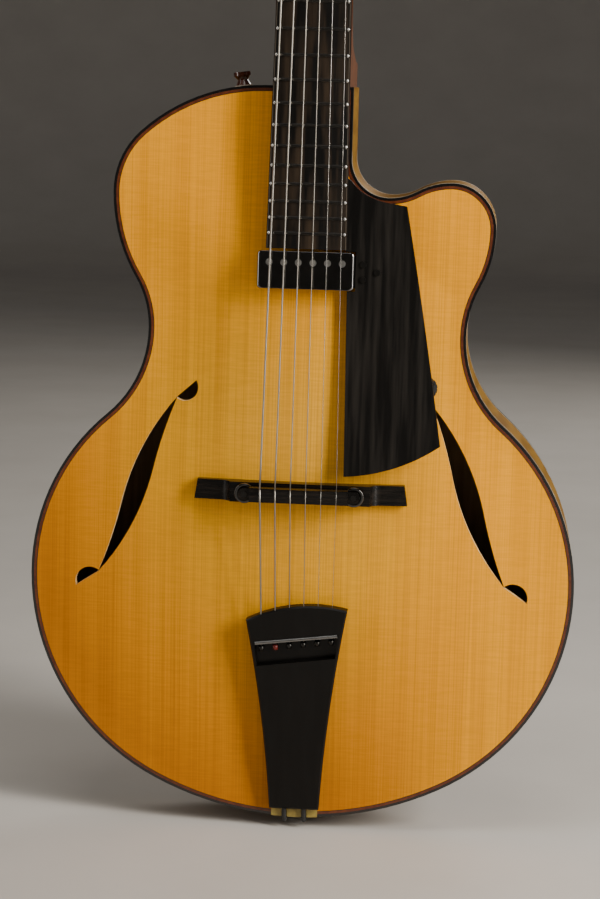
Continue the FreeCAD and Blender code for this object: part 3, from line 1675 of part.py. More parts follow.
def make_strap_button():
    frame = strap_frame()
    washer = new_body("strap_button_washer", frame)
    sketch = new_sketch(washer, height=size.seat_gap)
    draw_circle(sketch, "strap_washer_radius")
    draw_circle(sketch, "strap_stem", "running_fit")
    pad(washer, sketch, "Sizes.strap_washer_thickness")

    button = new_body("strap_button", frame)
    sketch = new_sketch(button, "XZ_Plane")
    foot = size.seat_gap + size.strap_washer_thickness + size.glue_line
    high = size.strap_button_height
    head = size.strap_button_head
    draw(
        sketch,
        (0, foot - size.strap_stem_length),
        (size.strap_stem, foot - size.strap_stem_length),
        (size.strap_stem, foot),
        (size.strap_button_foot, foot),
        (size.strap_button_waist, foot + high * 0.4),
        (head, foot + high * 0.72),
        (head, foot + high),
        (0, foot + high),
        (0, foot - size.strap_stem_length),
    )
    revolve(button, sketch)


make_plates()
make_sides()
make_tone_bars()
make_neck()
make_truss_rod()
make_fingerboard()
make_frets()
make_nut()
make_truss_cover()
make_tuners()
make_strings()
make_bridge()
make_pickup()
make_pickguard()
make_small_screws()
make_tailpiece()
make_tail()
make_strap_button()
doc.recompute()

# Everything has to be sound before anything is written
for item in doc.Objects:
    if "Invalid" in item.State or "Error" in item.State:
        raise ValueError(f"{item.Label} failed: {item.State}")
for item in parts:
    if item.Shape.isNull() or not item.Shape.isValid() or not item.Shape.Solids:
        raise ValueError(f"{item.Label} has no sound solid")

os.makedirs("parts", exist_ok=True)
for item in parts:
    item.Shape.exportStep(f"parts/{item.Label}.step")
print(len(parts), "sub-parts")
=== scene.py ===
"""Archtop guitar: finishes, strings, trim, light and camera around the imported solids.

The frame is in metres: X runs to the treble side, Y to the back, Z up the neck. The guitar's
own measures are in millimetres, or in metres where MM stands beside them.
"""
import math

import bmesh
import bpy
from mathutils import Matrix, Vector


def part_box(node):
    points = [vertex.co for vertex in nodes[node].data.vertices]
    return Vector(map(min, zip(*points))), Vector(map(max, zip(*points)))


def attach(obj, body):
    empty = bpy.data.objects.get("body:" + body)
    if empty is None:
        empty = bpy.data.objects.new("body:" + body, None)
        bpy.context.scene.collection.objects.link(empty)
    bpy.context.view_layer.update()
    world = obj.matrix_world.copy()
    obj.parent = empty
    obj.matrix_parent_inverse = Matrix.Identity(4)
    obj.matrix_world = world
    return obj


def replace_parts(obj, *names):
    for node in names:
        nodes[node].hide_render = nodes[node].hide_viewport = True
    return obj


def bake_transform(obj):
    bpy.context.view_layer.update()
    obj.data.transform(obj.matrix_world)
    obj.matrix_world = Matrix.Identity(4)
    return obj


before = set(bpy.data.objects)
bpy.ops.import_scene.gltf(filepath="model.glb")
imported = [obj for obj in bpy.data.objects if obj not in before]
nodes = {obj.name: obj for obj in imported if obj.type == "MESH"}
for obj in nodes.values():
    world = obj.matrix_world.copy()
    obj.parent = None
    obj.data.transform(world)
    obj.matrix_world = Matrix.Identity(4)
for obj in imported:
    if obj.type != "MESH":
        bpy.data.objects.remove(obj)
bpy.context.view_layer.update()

MM = 0.001
RIM_PLANE = -35 * MM
ROOT = "instrument"
ACROSS = Vector((1, 0, 0))

# The strings' gauges, from the highest to the lowest
GAUGES = {1: 0.31, 2: 0.41, 3: 0.61, 4: 0.81, 5: 1.07, 6: 1.32}
PLAIN_STRINGS = (1, 2)
WOUND_STRINGS = (3, 4, 5, 6)
STRING_MIDDLE = 3.5
STRING_SIDES = 8
# How far a string's middle stands off the saddle and the nut, in half gauges
STRING_LIFT = math.sqrt(math.pi / 2)

# The fingerboard's end at the nut, and the directions along and out of the board
BOARD_FOOT = Vector((0, -25.151, 904.2075))
NECK_TILT = math.radians(4)
BOARD_UP = Vector((0, math.sin(NECK_TILT), math.cos(NECK_TILT)))
BOARD_OUT = Vector((0, -math.cos(NECK_TILT), math.sin(NECK_TILT)))
BOARD_RADIUS = 305
BOARD_LENGTH = 476
BOARD_NUT_HALF = 22.2
BOARD_SPREAD = 6.3
SCALE_LENGTH = 647.7
FRET_COUNT = 22

# The headstock's face above the nut, and the directions along and out of it
HEAD_FOOT = Vector((0, -18.8168, 908.7768))
HEAD_TILT = math.radians(18)
HEAD_UP = Vector((0, math.sin(HEAD_TILT), math.cos(HEAD_TILT)))
HEAD_OUT = Vector((0, -math.cos(HEAD_TILT), math.sin(HEAD_TILT)))
# The posts: three rows, each wider and higher than the one before
POST_RADIUS = 3.0
POST_TOUCH = 7.5
POST_ROWS = 3
POST_OUT, POST_ROW_OUT = 20, 2
POST_UP, POST_ROW_UP = 4, 40

# How far the nut's edge stands along and out of the board's end
NUT_UP = 5
NUT_OUT = 1.5

# Where the strings end, rest and change over from one body to the next
TAIL_POINT = Vector((0, -55.81, 144.64))
SADDLE_POINT = Vector((0, -75.03, 258.84))
NUT_POINT = BOARD_FOOT + BOARD_UP * NUT_UP + BOARD_OUT * NUT_OUT
# From the middle of the set to its outer strings, at the tail, the saddle and the nut
TAIL_SPREAD = Vector((25.35, -0.43, 3.4))
SADDLE_SPREAD = 27.15
NUT_SPREAD = 18.2


def string_share(number):
    """Where a string lies across the set: -1 at the bass side, 1 at the treble side."""
    return (STRING_MIDDLE - number) / (STRING_MIDDLE - 1)


def crown_drop(x):
    """How far a face with the fingerboard's curve falls away beside the middle line."""
    return x ** 2 / (2 * BOARD_RADIUS)


def board_half(distance):
    """Half the fingerboard's width at a distance from the nut."""
    return BOARD_NUT_HALF + BOARD_SPREAD * distance / BOARD_LENGTH


def post_side(number):
    """1 for a post on the treble side, -1 on the bass side."""
    return 1 if number <= POST_ROWS else -1


def post_foot(number):
    """The middle of a post on the headstock's face."""
    row = min(number, 2 * POST_ROWS + 1 - number)
    out = post_side(number) * (POST_OUT + POST_ROW_OUT * row)
    return HEAD_FOOT + Vector((out, 0, 0)) + HEAD_UP * (POST_UP + POST_ROW_UP * row)


def post_touch(number, nut):
    """Where a string first meets its post, on the side towards the middle of the headstock."""
    away = post_foot(number) - nut
    level = away.dot(HEAD_OUT)
    away -= HEAD_OUT * level
    radius = POST_RADIUS + GAUGES[number] / 2 * STRING_LIFT
    turn = math.asin(radius / away.length) * post_side(number)
    heading = Matrix.Rotation(turn, 3, HEAD_OUT) @ away.normalized()
    reach = math.sqrt(away.length ** 2 - radius ** 2)
    return nut + heading * reach + HEAD_OUT * (level + POST_TOUCH)


def string_line(number):
    """The points of a string at its ball end, the saddle, the nut and the post."""
    share = string_share(number)
    lift = GAUGES[number] / 2 * STRING_LIFT
    anchor = TAIL_POINT + TAIL_SPREAD * share
    x = SADDLE_SPREAD * share
    saddle = SADDLE_POINT + Vector((x, crown_drop(x) - lift, 0))
    x = NUT_SPREAD * share
    nut = NUT_POINT + Vector((x, 0, 0)) + BOARD_OUT * (lift - crown_drop(x))
    return [point * MM for point in (anchor, saddle, nut, post_touch(number, nut))]


# Materials

# The sockets of a mix node that mixes colours
MIX_FACTOR, MIX_FIRST, MIX_SECOND = 0, 6, 7
MIX_RESULT = 2
# How much larger a wood's clouds are than its grain, and how much finer ebony's pores
CLOUD_SIZE = 9
PORE_FINENESS = 5


class Paint:
    """A procedural material around one principled shader, with textures in the shared frame."""

    def __init__(self, name, **sockets):
        self.material = bpy.data.materials.new(name)
        self.material.use_nodes = True
        self.tree = self.material.node_tree
        self.shader = self.tree.nodes["Principled BSDF"]
        for socket, value in sockets.items():
            self.shader.inputs[socket.replace("_", " ")].default_value = value
        self.place = self.tree.nodes.new("ShaderNodeTexCoord").outputs["Object"]

    def node(self, kind, inputs=(), **settings):
        """A shader node whose inputs are linked to outputs or set to values."""
        made = self.tree.nodes.new(kind)
        for key, value in settings.items():
            setattr(made, key, value)
        for key, value in dict(inputs).items():
            if hasattr(value, "links"):
                self.tree.links.new(value, made.inputs[key])
            else:
                made.inputs[key].default_value = value
        return made

    def link(self, output, socket):
        """Lets an output drive one of the shader's sockets."""
        self.tree.links.new(output, self.shader.inputs[socket])

    def math(self, operation, first, second=0.0, clamp=False):
        made = self.node("ShaderNodeMath", {0: first, 1: second},
                         operation=operation, use_clamp=clamp)
        return made.outputs[0]

    def stretched(self, scale):
        """Places scaled along X, Y and Z, so that a texture runs with the grain."""
        made = self.node("ShaderNodeVectorMath", {0: self.place, 1: scale}, operation="MULTIPLY")
        return made.outputs[0]

    def noise(self, scale, detail):
        made = self.node("ShaderNodeTexNoise", {
            "Vector": self.stretched(scale), "Scale": 1.0, "Detail": detail, "Roughness": 0.55,
        })
        return made.outputs["Fac"]

    def axis(self, name):
        """One coordinate of the place."""
        return self.node("ShaderNodeSeparateXYZ", {0: self.place}).outputs[name]

    def ramp(self, factor, stops):
        """A colour that runs through stops, each a position and a colour."""
        made = self.node("ShaderNodeValToRGB", {"Fac": factor})
        points = made.color_ramp.elements
        while len(points) < len(stops):
            points.new(1.0)
        for point, (position, colour) in zip(points, stops):
            point.position = position
            point.color = (*colour, 1.0)
        return made.outputs["Color"]

    def level(self, factor, low, high):
        """A factor spread over another range."""
        made = self.node("ShaderNodeMapRange", {"Value": factor, "To Min": low, "To Max": high})
        return made.outputs["Result"]

    def step(self, factor, low, high):
        """0 below low, 1 above high, smooth between."""
        made = self.node("ShaderNodeMapRange", {"Value": factor, "From Min": low, "From Max": high},
                         interpolation_type="SMOOTHSTEP")
        return made.outputs["Result"]

    def blend(self, factor, first, second, kind="MIX"):
        made = self.node("ShaderNodeMix", {MIX_FACTOR: factor, MIX_FIRST: first, MIX_SECOND: second},
                         data_type="RGBA", blend_type=kind)
        return made.outputs[MIX_RESULT]

    def shade(self, strength, colour, factor, dark, light):
        """A colour multiplied by a ramp that a texture drives from a dark stop to a light one."""
        return self.blend(strength, colour, self.ramp(factor, [dark, light]), "MULTIPLY")

    def bump(self, height, strength, distance):
        made = self.node("ShaderNodeBump", {
            "Height": height, "Strength": strength, "Distance": distance,
        })
        self.link(made.outputs["Normal"], "Normal")


# The middle of the top's darkening towards its edges, and how far it reaches
DARKENING_MIDDLE = 300 * MM
DARKENING_HALF_HEIGHT = 290 * MM
DARKENING_HALF_WIDTH = 205 * MM
# Painted light: where the top's colour grows brighter, towards the treble side and the neck, where
# the lamps fall
PAINTED_LIGHT_ACROSS = (30 * MM, 150 * MM)
PAINTED_LIGHT_UP = (300 * MM, 480 * MM)


def spruce():
    """Amber lacquered spruce: fine upright grain, faint cross silk, darker towards the edges, with
    painted light towards the treble side and the neck.
    """
    paint = Paint("spruce", Coat_Weight=0.04, Coat_Roughness=0.25, Specular_IOR_Level=0.1)
    x, z = paint.axis("X"), paint.axis("Z")
    across = paint.math("DIVIDE", x, DARKENING_HALF_WIDTH)
    up = paint.math("DIVIDE", paint.math("SUBTRACT", z, DARKENING_MIDDLE), DARKENING_HALF_HEIGHT)
    away = paint.math("SQRT", paint.math("ADD", paint.math("MULTIPLY", across, across),
                                         paint.math("MULTIPLY", up, up)))
    # the colour grows darker from the middle given above towards the top's edges
    edge_darkened = paint.ramp(away, [
        (0.0, (0.76, 0.375, 0.026)),
        (0.45, (0.76, 0.350, 0.006)),
        (0.80, (0.64, 0.240, 0.0015)),
        (1.0, (0.48, 0.165, 0.001)),
    ])
    # painted light: the colour grows brighter towards the treble side under the key lamp, then
    # towards the neck under the top lamp
    painted_side_light = paint.blend(paint.step(x, *PAINTED_LIGHT_ACROSS), edge_darkened, (0.80, 0.335, 0.001, 1))
    painted_light_above = paint.blend(paint.step(z, *PAINTED_LIGHT_UP), painted_side_light, (0.84, 0.345, 0.001, 1))
    fine = paint.noise((900, 3, 4), detail=2.0)
    broad = paint.noise((90, 3, 0.8), detail=2.0)
    silk = paint.noise((60, 5, 800), detail=2.0)
    grained = paint.shade(1.0, painted_light_above, fine, (0.30, (0.84, 0.80, 0.72)), (0.58, (1.03, 1.03, 1.0)))
    banded = paint.shade(1.0, grained, broad, (0.3, (0.93, 0.90, 0.86)), (0.7, (1.04, 1.04, 1.02)))
    silky = paint.shade(0.3, banded, silk, (0.35, (0.78, 0.74, 0.66)), (0.65, (1.10, 1.09, 1.06)))
    paint.link(silky, "Base Color")
    paint.link(paint.level(fine, 0.36, 0.50), "Roughness")
    paint.bump(fine, 0.10, 0.0002)
    return paint.material


def maple(name, tone, gloss):
    """Amber lacquered maple with cross flame."""
    paint = Paint(name, Coat_Weight=gloss, Coat_Roughness=0.2, Specular_IOR_Level=gloss)
    flame = paint.noise((9, 14, 95), detail=2.0)
    fibre = paint.noise((260, 260, 18), detail=3.0)
    shades = ((0.30, (0.64, 0.58, 0.50)), (0.55, (1.0, 1.0, 1.0)), (0.78, (0.76, 0.73, 0.67)))
    stops = [(place, [value * part for value, part in zip(tone, shade)]) for place, shade in shades]
    colour = paint.ramp(flame, stops)
    fibred = paint.shade(0.6, colour, fibre, (0.35, (0.80, 0.74, 0.66)), (0.65, (1.05, 1.04, 1.02)))
    paint.link(fibred, "Base Color")
    paint.link(paint.level(flame, 0.45, 0.58), "Roughness")
    paint.bump(fibre, 0.08, 0.0002)
    return paint.material


def stained_wood(name, dark, light, grain, roughness, coat=0.0):
    """Stained or polished wood whose grain runs along the axis that has the smallest scale."""
    paint = Paint(name, Coat_Weight=coat, Coat_Roughness=0.1)
    pores = paint.noise(grain, detail=4.0)
    cloud = paint.noise(tuple(value / CLOUD_SIZE for value in grain), detail=2.0)
    colour = paint.ramp(pores, [(0.35, dark), (0.66, light)])
    varied = paint.shade(0.7, colour, cloud, (0.3, (0.74, 0.72, 0.70)), (0.7, (1.12, 1.10, 1.08)))
    paint.link(varied, "Base Color")
    paint.link(paint.level(pores, roughness - 0.06, roughness + 0.08), "Roughness")
    paint.bump(pores, 0.15, 0.0002)
    return paint.material


def ebony(name, grain, roughness=0.38, streak=(0.016, 0.012, 0.009)):
    """Oiled ebony: nearly black, with faint brown streaks along the grain."""
    paint = Paint(name, Specular_IOR_Level=0.2)
    streaks = paint.noise(grain, detail=3.0)
    pores = paint.noise(tuple(value * PORE_FINENESS for value in grain), detail=2.0)
    black = (0.0030, 0.0026, 0.0022)
    paint.link(paint.ramp(streaks, [(0.42, black), (0.72, streak)]), "Base Color")
    paint.link(paint.level(pores, roughness - 0.06, roughness + 0.10), "Roughness")
    paint.bump(pores, 0.08, 0.00015)
    return paint


BOARD_LINE_INSET = 0.75 * MM
BOARD_LINE_HALF = 0.20 * MM


def board_ebony():
    """Fingerboard ebony with a faint line along each edge."""
    paint = ebony("board_ebony", (160, 160, 5), 0.45, (0.034, 0.022, 0.013))
    down = paint.math("SUBTRACT", BOARD_FOOT.z * MM, paint.axis("Z"))
    share = paint.math("DIVIDE", down, BOARD_LENGTH * MM, clamp=True)
    spread = paint.math("MULTIPLY", share, BOARD_SPREAD * MM)
    half = paint.math("ADD", spread, BOARD_NUT_HALF * MM)
    inset = paint.math("SUBTRACT", half, paint.math("ABSOLUTE", paint.axis("X")))
    off_line = paint.math("ABSOLUTE", paint.math("SUBTRACT", inset, BOARD_LINE_INSET))
    line = paint.math("LESS_THAN", off_line, BOARD_LINE_HALF)
    base = paint.shader.inputs["Base Color"].links[0].from_socket
    paint.link(paint.blend(line, base, (0.085, 0.068, 0.05, 1)), "Base Color")
    return paint.material


def metal(name, colour, roughness, scratch=(900, 900, 60)):
    """Plated metal with fine handling marks."""
    paint = Paint(name, Metallic=1.0)
    marks = paint.noise(scratch, detail=3.0)
    cloud = paint.noise((120, 120, 120), detail=2.0)
    shade = tuple(value * 0.82 for value in colour)
    paint.link(paint.ramp(cloud, [(0.3, shade), (0.7, colour)]), "Base Color")
    paint.link(paint.level(marks, roughness * 0.7, roughness * 1.5), "Roughness")
    paint.bump(marks, 0.03, 0.0001)
    return paint.material


def plain(name, dark, light, roughness, scale=400, coat=0.0, bump=0.06):
    """Moulded or polished stock with slight mottling."""
    paint = Paint(name, Coat_Weight=coat, Coat_Roughness=0.06)
    mottle = paint.noise((scale, scale, scale), detail=3.0)
    paint.link(paint.ramp(mottle, [(0.35, dark), (0.65, light)]), "Base Color")
    paint.link(paint.level(mottle, roughness - 0.05, roughness + 0.07), "Roughness")
    paint.bump(mottle, bump, 0.0001)
    return paint.material


def braid():
    """Black braided cord."""
    paint = Paint("braided_cord", Roughness=0.62)
    plait = paint.node("ShaderNodeTexVoronoi", {
        "Vector": paint.stretched((1400, 1100, 1100)), "Scale": 1.0,
    })
    depth = plait.outputs["Distance"]
    stops = [(0.1, (0.020, 0.019, 0.018)), (0.8, (0.005, 0.005, 0.005))]
    paint.link(paint.ramp(depth, stops), "Base Color")
    paint.bump(depth, 0.5, 0.0003)
    return paint.material


SPRUCE = spruce()
BACK_MAPLE = maple("back_maple", (0.30, 0.145, 0.018), 0.15)
# painted shade: the ribs get a darker copy of the back's maple, standing in for the shade on them
SHADED_RIB_MAPLE = maple("rib_maple_painted_shade", (0.20, 0.105, 0.016), 0.03)
CUT_EDGE = stained_wood("cut_spruce", (0.56, 0.36, 0.14), (0.76, 0.55, 0.27), (300, 60, 20), 0.6)
BARE_WOOD = stained_wood("bare_wood", (0.34, 0.21, 0.09), (0.48, 0.32, 0.16), (240, 60, 12), 0.7)
NECK_WOOD = stained_wood("neck_wood", (0.080, 0.024, 0.007), (0.165, 0.056, 0.017),
                         (240, 240, 14), 0.34, coat=0.3)
PURFLING = stained_wood("purfling", (0.075, 0.013, 0.002), (0.135, 0.030, 0.004),
                        (300, 300, 300), 0.4, coat=0.2)
DARK_LINE = plain("dark_line", (0.012, 0.006, 0.003), (0.022, 0.010, 0.005), 0.4)
BINDING = plain("black_binding", (0.004, 0.004, 0.004), (0.008, 0.007, 0.007), 0.22, coat=0.4)
PALE_LINE = plain("pale_line", (0.50, 0.44, 0.34), (0.62, 0.56, 0.44), 0.4)
BONE = plain("bone", (0.52, 0.38, 0.13), (0.66, 0.52, 0.22), 0.3, scale=700, coat=0.3)
TAIL_BONE = plain("tail_bone", (0.27, 0.195, 0.035), (0.36, 0.265, 0.06), 0.4, scale=700)
FELT = plain("felt", (0.48, 0.42, 0.33), (0.66, 0.60, 0.50), 0.85, scale=2600, bump=0.5)
EBONY_UP = ebony("ebony_upright", (230, 230, 5)).material
EBONY_HEAD = ebony("ebony_headstock", (230, 6, 5)).material
EBONY_CROSS = ebony("ebony_cross", (7, 260, 260), 0.24).material
EBONY_GUARD = ebony("ebony_guard", (150, 150, 2.5), 0.38, (0.022, 0.019, 0.016)).material
EBONY_TAIL = ebony("ebony_tailpiece", (190, 190, 4), 0.30, (0.005, 0.0045, 0.004)).material
BOARD = board_ebony()
STEEL = metal("bright_steel", (0.40, 0.38, 0.35), 0.26)
WOUND = metal("wound_wire", (0.34, 0.315, 0.275), 0.34, (300, 300, 5200))
FRET = metal("fret_wire", (0.40, 0.39, 0.37), 0.14)
NICKEL = metal("polished_nickel", (0.66, 0.64, 0.61), 0.14)
BAR_STEEL = metal("bar_steel", (0.26, 0.26, 0.255), 0.32)
# painted glints: the fret ends get a much brighter copy of the fret wire's metal, so they show as
# bright dots
FRET_END_GLINT = metal("fret_end_painted_glint", (0.95, 0.93, 0.89), 0.30)
# painted reflection: the chrome cover gets a dark colour that stands in for the dark room it
# reflects
PAINTED_DARK_CHROME = metal("chrome_painted_dark_reflection", (0.22, 0.215, 0.21), 0.06)
POLE_STEEL = metal("pole_steel", (0.62, 0.61, 0.58), 0.32)
WHEEL_STEEL = metal("wheel_steel", (0.10, 0.098, 0.095), 0.13)
BLACK_METAL = metal("blackened_steel", (0.045, 0.043, 0.04), 0.35)
COIL = plain("coil_body", (0.006, 0.006, 0.006), (0.014, 0.013, 0.012), 0.5)
CORD = braid()
BUTTON_WOOD = stained_wood("button_wood", (0.045, 0.010, 0.004), (0.13, 0.032, 0.012),
                           (420, 420, 40), 0.2, coat=0.8)
RED_BALL = plain("red_ball", (0.10, 0.008, 0.006), (0.16, 0.014, 0.010), 0.35)

# The solids that show as they are
NODE_PAINT = {
    "top_binding": BINDING,
    "neck_block": BARE_WOOD,
    "tail_block": BARE_WOOD,
    "tone_bars": BARE_WOOD,
    "heel_cap": EBONY_CROSS,
    "truss_rod": STEEL,
    "fingerboard": BOARD,
    "frets": FRET,
    "nut": BONE,
    "truss_rod_cover": EBONY_HEAD,
    "tuner_housings": NICKEL,
    "bridge_base": EBONY_CROSS,
    "bridge_posts": BLACK_METAL,
    "bridge_saddle": EBONY_CROSS,
    "pickup_body": COIL,
    "pickup_pole_screws": POLE_STEEL,
    "pickguard_post": EBONY_UP,
    "volume_pot": NICKEL,
    "volume_wheel": COIL,
    "small_screws": BLACK_METAL,
    "tailpiece": EBONY_TAIL,
    "tailpiece_bar": BAR_STEEL,
    "tail_saddle": TAIL_BONE,
    "end_pin_jack": NICKEL,
    "strap_button_washer": FELT,
    "strap_button": BUTTON_WOOD,
}
for number in GAUGES:
    NODE_PAINT[f"tuner_knob_{number}"] = NICKEL
    NODE_PAINT[f"tuner_post_{number}"] = NICKEL
for name, material in NODE_PAINT.items():
    nodes[name].data.materials.clear()
    nodes[name].data.materials.append(material)


# Pieces

WELD = 0.005 * MM
CREASE = math.radians(35)


def add_piece(name, mesh, body, slot, *materials):
    """A new piece, which rides on a body where one is given. The slot is not used."""
    piece = bpy.data.objects.new(name, mesh)
    bpy.context.scene.collection.objects.link(piece)
    for material in materials:
        mesh.materials.append(material)
    if body:
        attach(piece, body)
    return piece


def smooth_copy(node, slot, materials, choose=lambda centre, normal: 0):
    """A node's surface with its seams welded and shaded smooth, painted face by face."""
    mesh = nodes[node].data.copy()
    mesh.materials.clear()
    if "custom_normal" in mesh.attributes:
        mesh.attributes.remove(mesh.attributes["custom_normal"])
    shape = bmesh.new()
    shape.from_mesh(mesh)
    bmesh.ops.remove_doubles(shape, verts=shape.verts, dist=WELD)
    for edge in shape.edges:
        edge.smooth = len(edge.link_faces) == 2 and edge.calc_face_angle(0) < CREASE
    for face in shape.faces:
        face.smooth = True
        face.material_index = choose(face.calc_center_median(), face.normal)
    shape.to_mesh(mesh)
    shape.free()
    piece = add_piece(node + "_finish", mesh, ROOT, slot, *materials)
    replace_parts(piece, node)
    return piece


def frames_along(points):
    """A pair of directions square to a line at each of its points, turned as little as possible."""
    tangents = [(after - before).normalized() for before, after in
                zip([points[0], *points[:-1]], [*points[1:], points[-1]])]
    side = tangents[0].orthogonal().normalized()
    frames = []
    for tangent in tangents:
        side = (side - tangent * side.dot(tangent)).normalized()
        frames.append((side, tangent.cross(side)))
    return frames


def turns_round(count):
    """Even steps round a full circle."""
    return [2 * math.pi * step / count for step in range(count)]


def add_tube(shape, points, radius, sides, material_index=0):
    """A closed round tube along a line, added to a bmesh."""
    rings = []
    for point, (side, other) in zip(points, frames_along(points)):
        ring = []
        for turn in turns_round(sides):
            spoke = side * (radius * math.cos(turn)) + other * (radius * math.sin(turn))
            ring.append(shape.verts.new(point + spoke))
        rings.append(ring)
    for low, high in zip(rings, rings[1:]):
        for step in range(sides):
            after = (step + 1) % sides
            face = shape.faces.new((low[step], low[after], high[after], high[step]))
            face.smooth = True
            face.material_index = material_index
    for ring in (rings[0][::-1], rings[-1]):
        shape.faces.new(ring).material_index = material_index


def add_rings(shape, rings, cyclic, smooth=True):
    """Faces between neighbouring rings of corners; open ends are closed with a flat face."""
    rings = [[shape.verts.new(corner) for corner in ring] for ring in rings]
    pairs = list(zip(rings, rings[1:]))
    if cyclic:
        pairs.append((rings[-1], rings[0]))
    count = len(rings[0])
    for low, high in pairs:
        for step in range(count):
            after = (step + 1) % count
            shape.faces.new((low[step], low[after], high[after], high[step])).smooth = smooth
    if not cyclic:
        shape.faces.new(rings[0][::-1])
        shape.faces.new(rings[-1])
    bmesh.ops.recalc_face_normals(shape, faces=shape.faces)


def mesh_of(name, build):
    """A mesh made by a function that fills a bmesh."""
    shape = bmesh.new()
    build(shape)
    mesh = bpy.data.meshes.new(name)
    shape.to_mesh(mesh)
    shape.free()
    return mesh


def along(start, end, count):
    """The points that divide a straight line into equal stretches."""
    return [start.lerp(end, step / count) for step in range(count + 1)]


# Body

# The finishes of a plate, and how squarely a face has to look forwards or back to be no edge
OUTSIDE, EDGE, INSIDE = 0, 1, 2
FACING = 0.5
HEAD_FACING = 0.9
RIM_TOLERANCE = 0.02 * MM
SHORTEST_EDGE = 0.001 * MM
# The notch for the tail saddle: the heights and the half width between which its corners lie
NOTCH_HEIGHT = (10 * MM, 20 * MM)
NOTCH_HALF = 20 * MM


def top_side(centre, normal):
    """The finish of a face of the top plate, whose outside looks to the front."""
    if abs(normal.y) <= FACING:
        return EDGE
    return OUTSIDE if normal.y < 0 else INSIDE


def back_side(centre, normal):
    """The finish of a face of the back plate, whose outside looks to the back."""
    if abs(normal.y) <= FACING:
        return EDGE
    return OUTSIDE if normal.y > 0 else INSIDE


def neck_side(centre, normal):
    """1 for the headstock's face, which has an overlay, and 0 for the rest of the neck."""
    return int(centre.z > HEAD_FOOT.z * MM and normal.dot(HEAD_OUT) > HEAD_FACING)


top = smooth_copy("top_plate", "spruce", (SPRUCE, CUT_EDGE, BARE_WOOD), top_side)
smooth_copy("back_plate", "maple", (BACK_MAPLE, BINDING, BARE_WOOD), back_side)
for rib in ("bass_rib", "treble_rib"):
    smooth_copy(rib, "maple", (SHADED_RIB_MAPLE,))
smooth_copy("neck", "neck_wood", (NECK_WOOD, EBONY_HEAD), neck_side)


def rim_line():
    """The edge of the top plate on the rim plane, in order, without the tail notch."""
    mesh = top.data
    ahead = {}
    for polygon in mesh.polygons:
        if polygon.material_index != EDGE:
            continue
        for first, second in polygon.edge_keys:
            ends = (mesh.vertices[first].co, mesh.vertices[second].co)
            on_rim = all(abs(end.y - RIM_PLANE) < RIM_TOLERANCE for end in ends)
            if on_rim and (ends[0] - ends[1]).length > SHORTEST_EDGE:
                ahead.setdefault(first, set()).add(second)
                ahead.setdefault(second, set()).add(first)
    start = max(ahead, key=lambda index: mesh.vertices[index].co.x)
    order = [start]
    seen = {start}
    while True:
        following = [index for index in ahead[order[-1]] if index not in seen]
        if not following:
            break
        order.append(following[0])
        seen.add(following[0])
    loop = [Vector((mesh.vertices[index].co.x, mesh.vertices[index].co.z)) for index in order]
    low, high = NOTCH_HEIGHT
    notch = [index for index, point in enumerate(loop)
             if low < point.y < high and abs(point.x) < NOTCH_HALF]
    turned = loop[notch[-1]:] + loop[:notch[0] + 1]
    if sum(a.cross(b) for a, b in zip(turned, turned[1:])) < 0:
        turned.reverse()
    return turned


def offset_line(line, inset):
    """A line moved to its left by an inset."""
    moved = []
    for index, point in enumerate(line):
        before = line[max(index - 1, 0)]
        after = line[min(index + 1, len(line) - 1)]
        heading = (after - before).normalized()
        moved.append(point + Vector((-heading.y, heading.x)) * inset)
    return moved


def band(name, rails, slot, material):
    """A thin closed strip along four lines of points, the corners of its section in order."""
    sections = list(zip(*rails))
    mesh = mesh_of(name, lambda shape: add_rings(shape, sections, False, False))
    add_piece(name, mesh, ROOT, slot, material)


RIM = rim_line()
PURFLING_WIDTH = 1.7 * MM
DARK_WIDTH = 0.5 * MM
BINDING_WIDTH = 1.95 * MM
PROUD = 0.08 * MM
# The two edges of the pale lines on the ribs, from the middle of the ribs
PALE_NEAR = 28.9 * MM
PALE_FAR = 29.5 * MM


def rail(inset, level):
    """The rim's line, moved inwards and set at a depth."""
    return [Vector((point.x, level, point.y)) for point in offset_line(RIM, inset)]


def flat_band(name, outer, inner, slot, material):
    """A strip let into the top, just proud of the rim plane."""
    front = RIM_PLANE - PROUD
    deep = RIM_PLANE + PROUD
    corners = ((outer, front), (inner, front), (inner, deep), (outer, deep))
    band(name, [rail(*corner) for corner in corners], slot, material)


def side_band(name, low, high, slot, material):
    """A strip let into the ribs, just proud of them."""
    outer = -PROUD - BINDING_WIDTH
    inner = PROUD - BINDING_WIDTH
    corners = ((outer, low), (outer, high), (inner, high), (inner, low))
    band(name, [rail(*corner) for corner in corners], slot, material)


flat_band("top_purfling", 0, PURFLING_WIDTH, "neck_wood", PURFLING)
flat_band("top_dark_line", PURFLING_WIDTH, PURFLING_WIDTH + DARK_WIDTH, "binding", DARK_LINE)
side_band("top_pale_line", -PALE_FAR, -PALE_NEAR, "bone", PALE_LINE)
side_band("back_pale_line", PALE_NEAR, PALE_FAR, "bone", PALE_LINE)


# Pickguard

# The hollow is the guard's upper edge along the cutaway: it reaches up, less so near its corner
GUARD_HOLLOW = 15.4 * MM
GUARD_REACH = 3.0 * MM
GUARD_FADE = 24 * MM
# The side next to the fingerboard, above the pickup, goes under the board at its lower end
GUARD_SIDE_ABOVE = 425 * MM
GUARD_SIDE_TOLERANCE = 0.2 * MM
GUARD_GAP = 0.05
GUARD_TUCK = 1.0
GUARD_TUCK_BELOW = 450 * MM


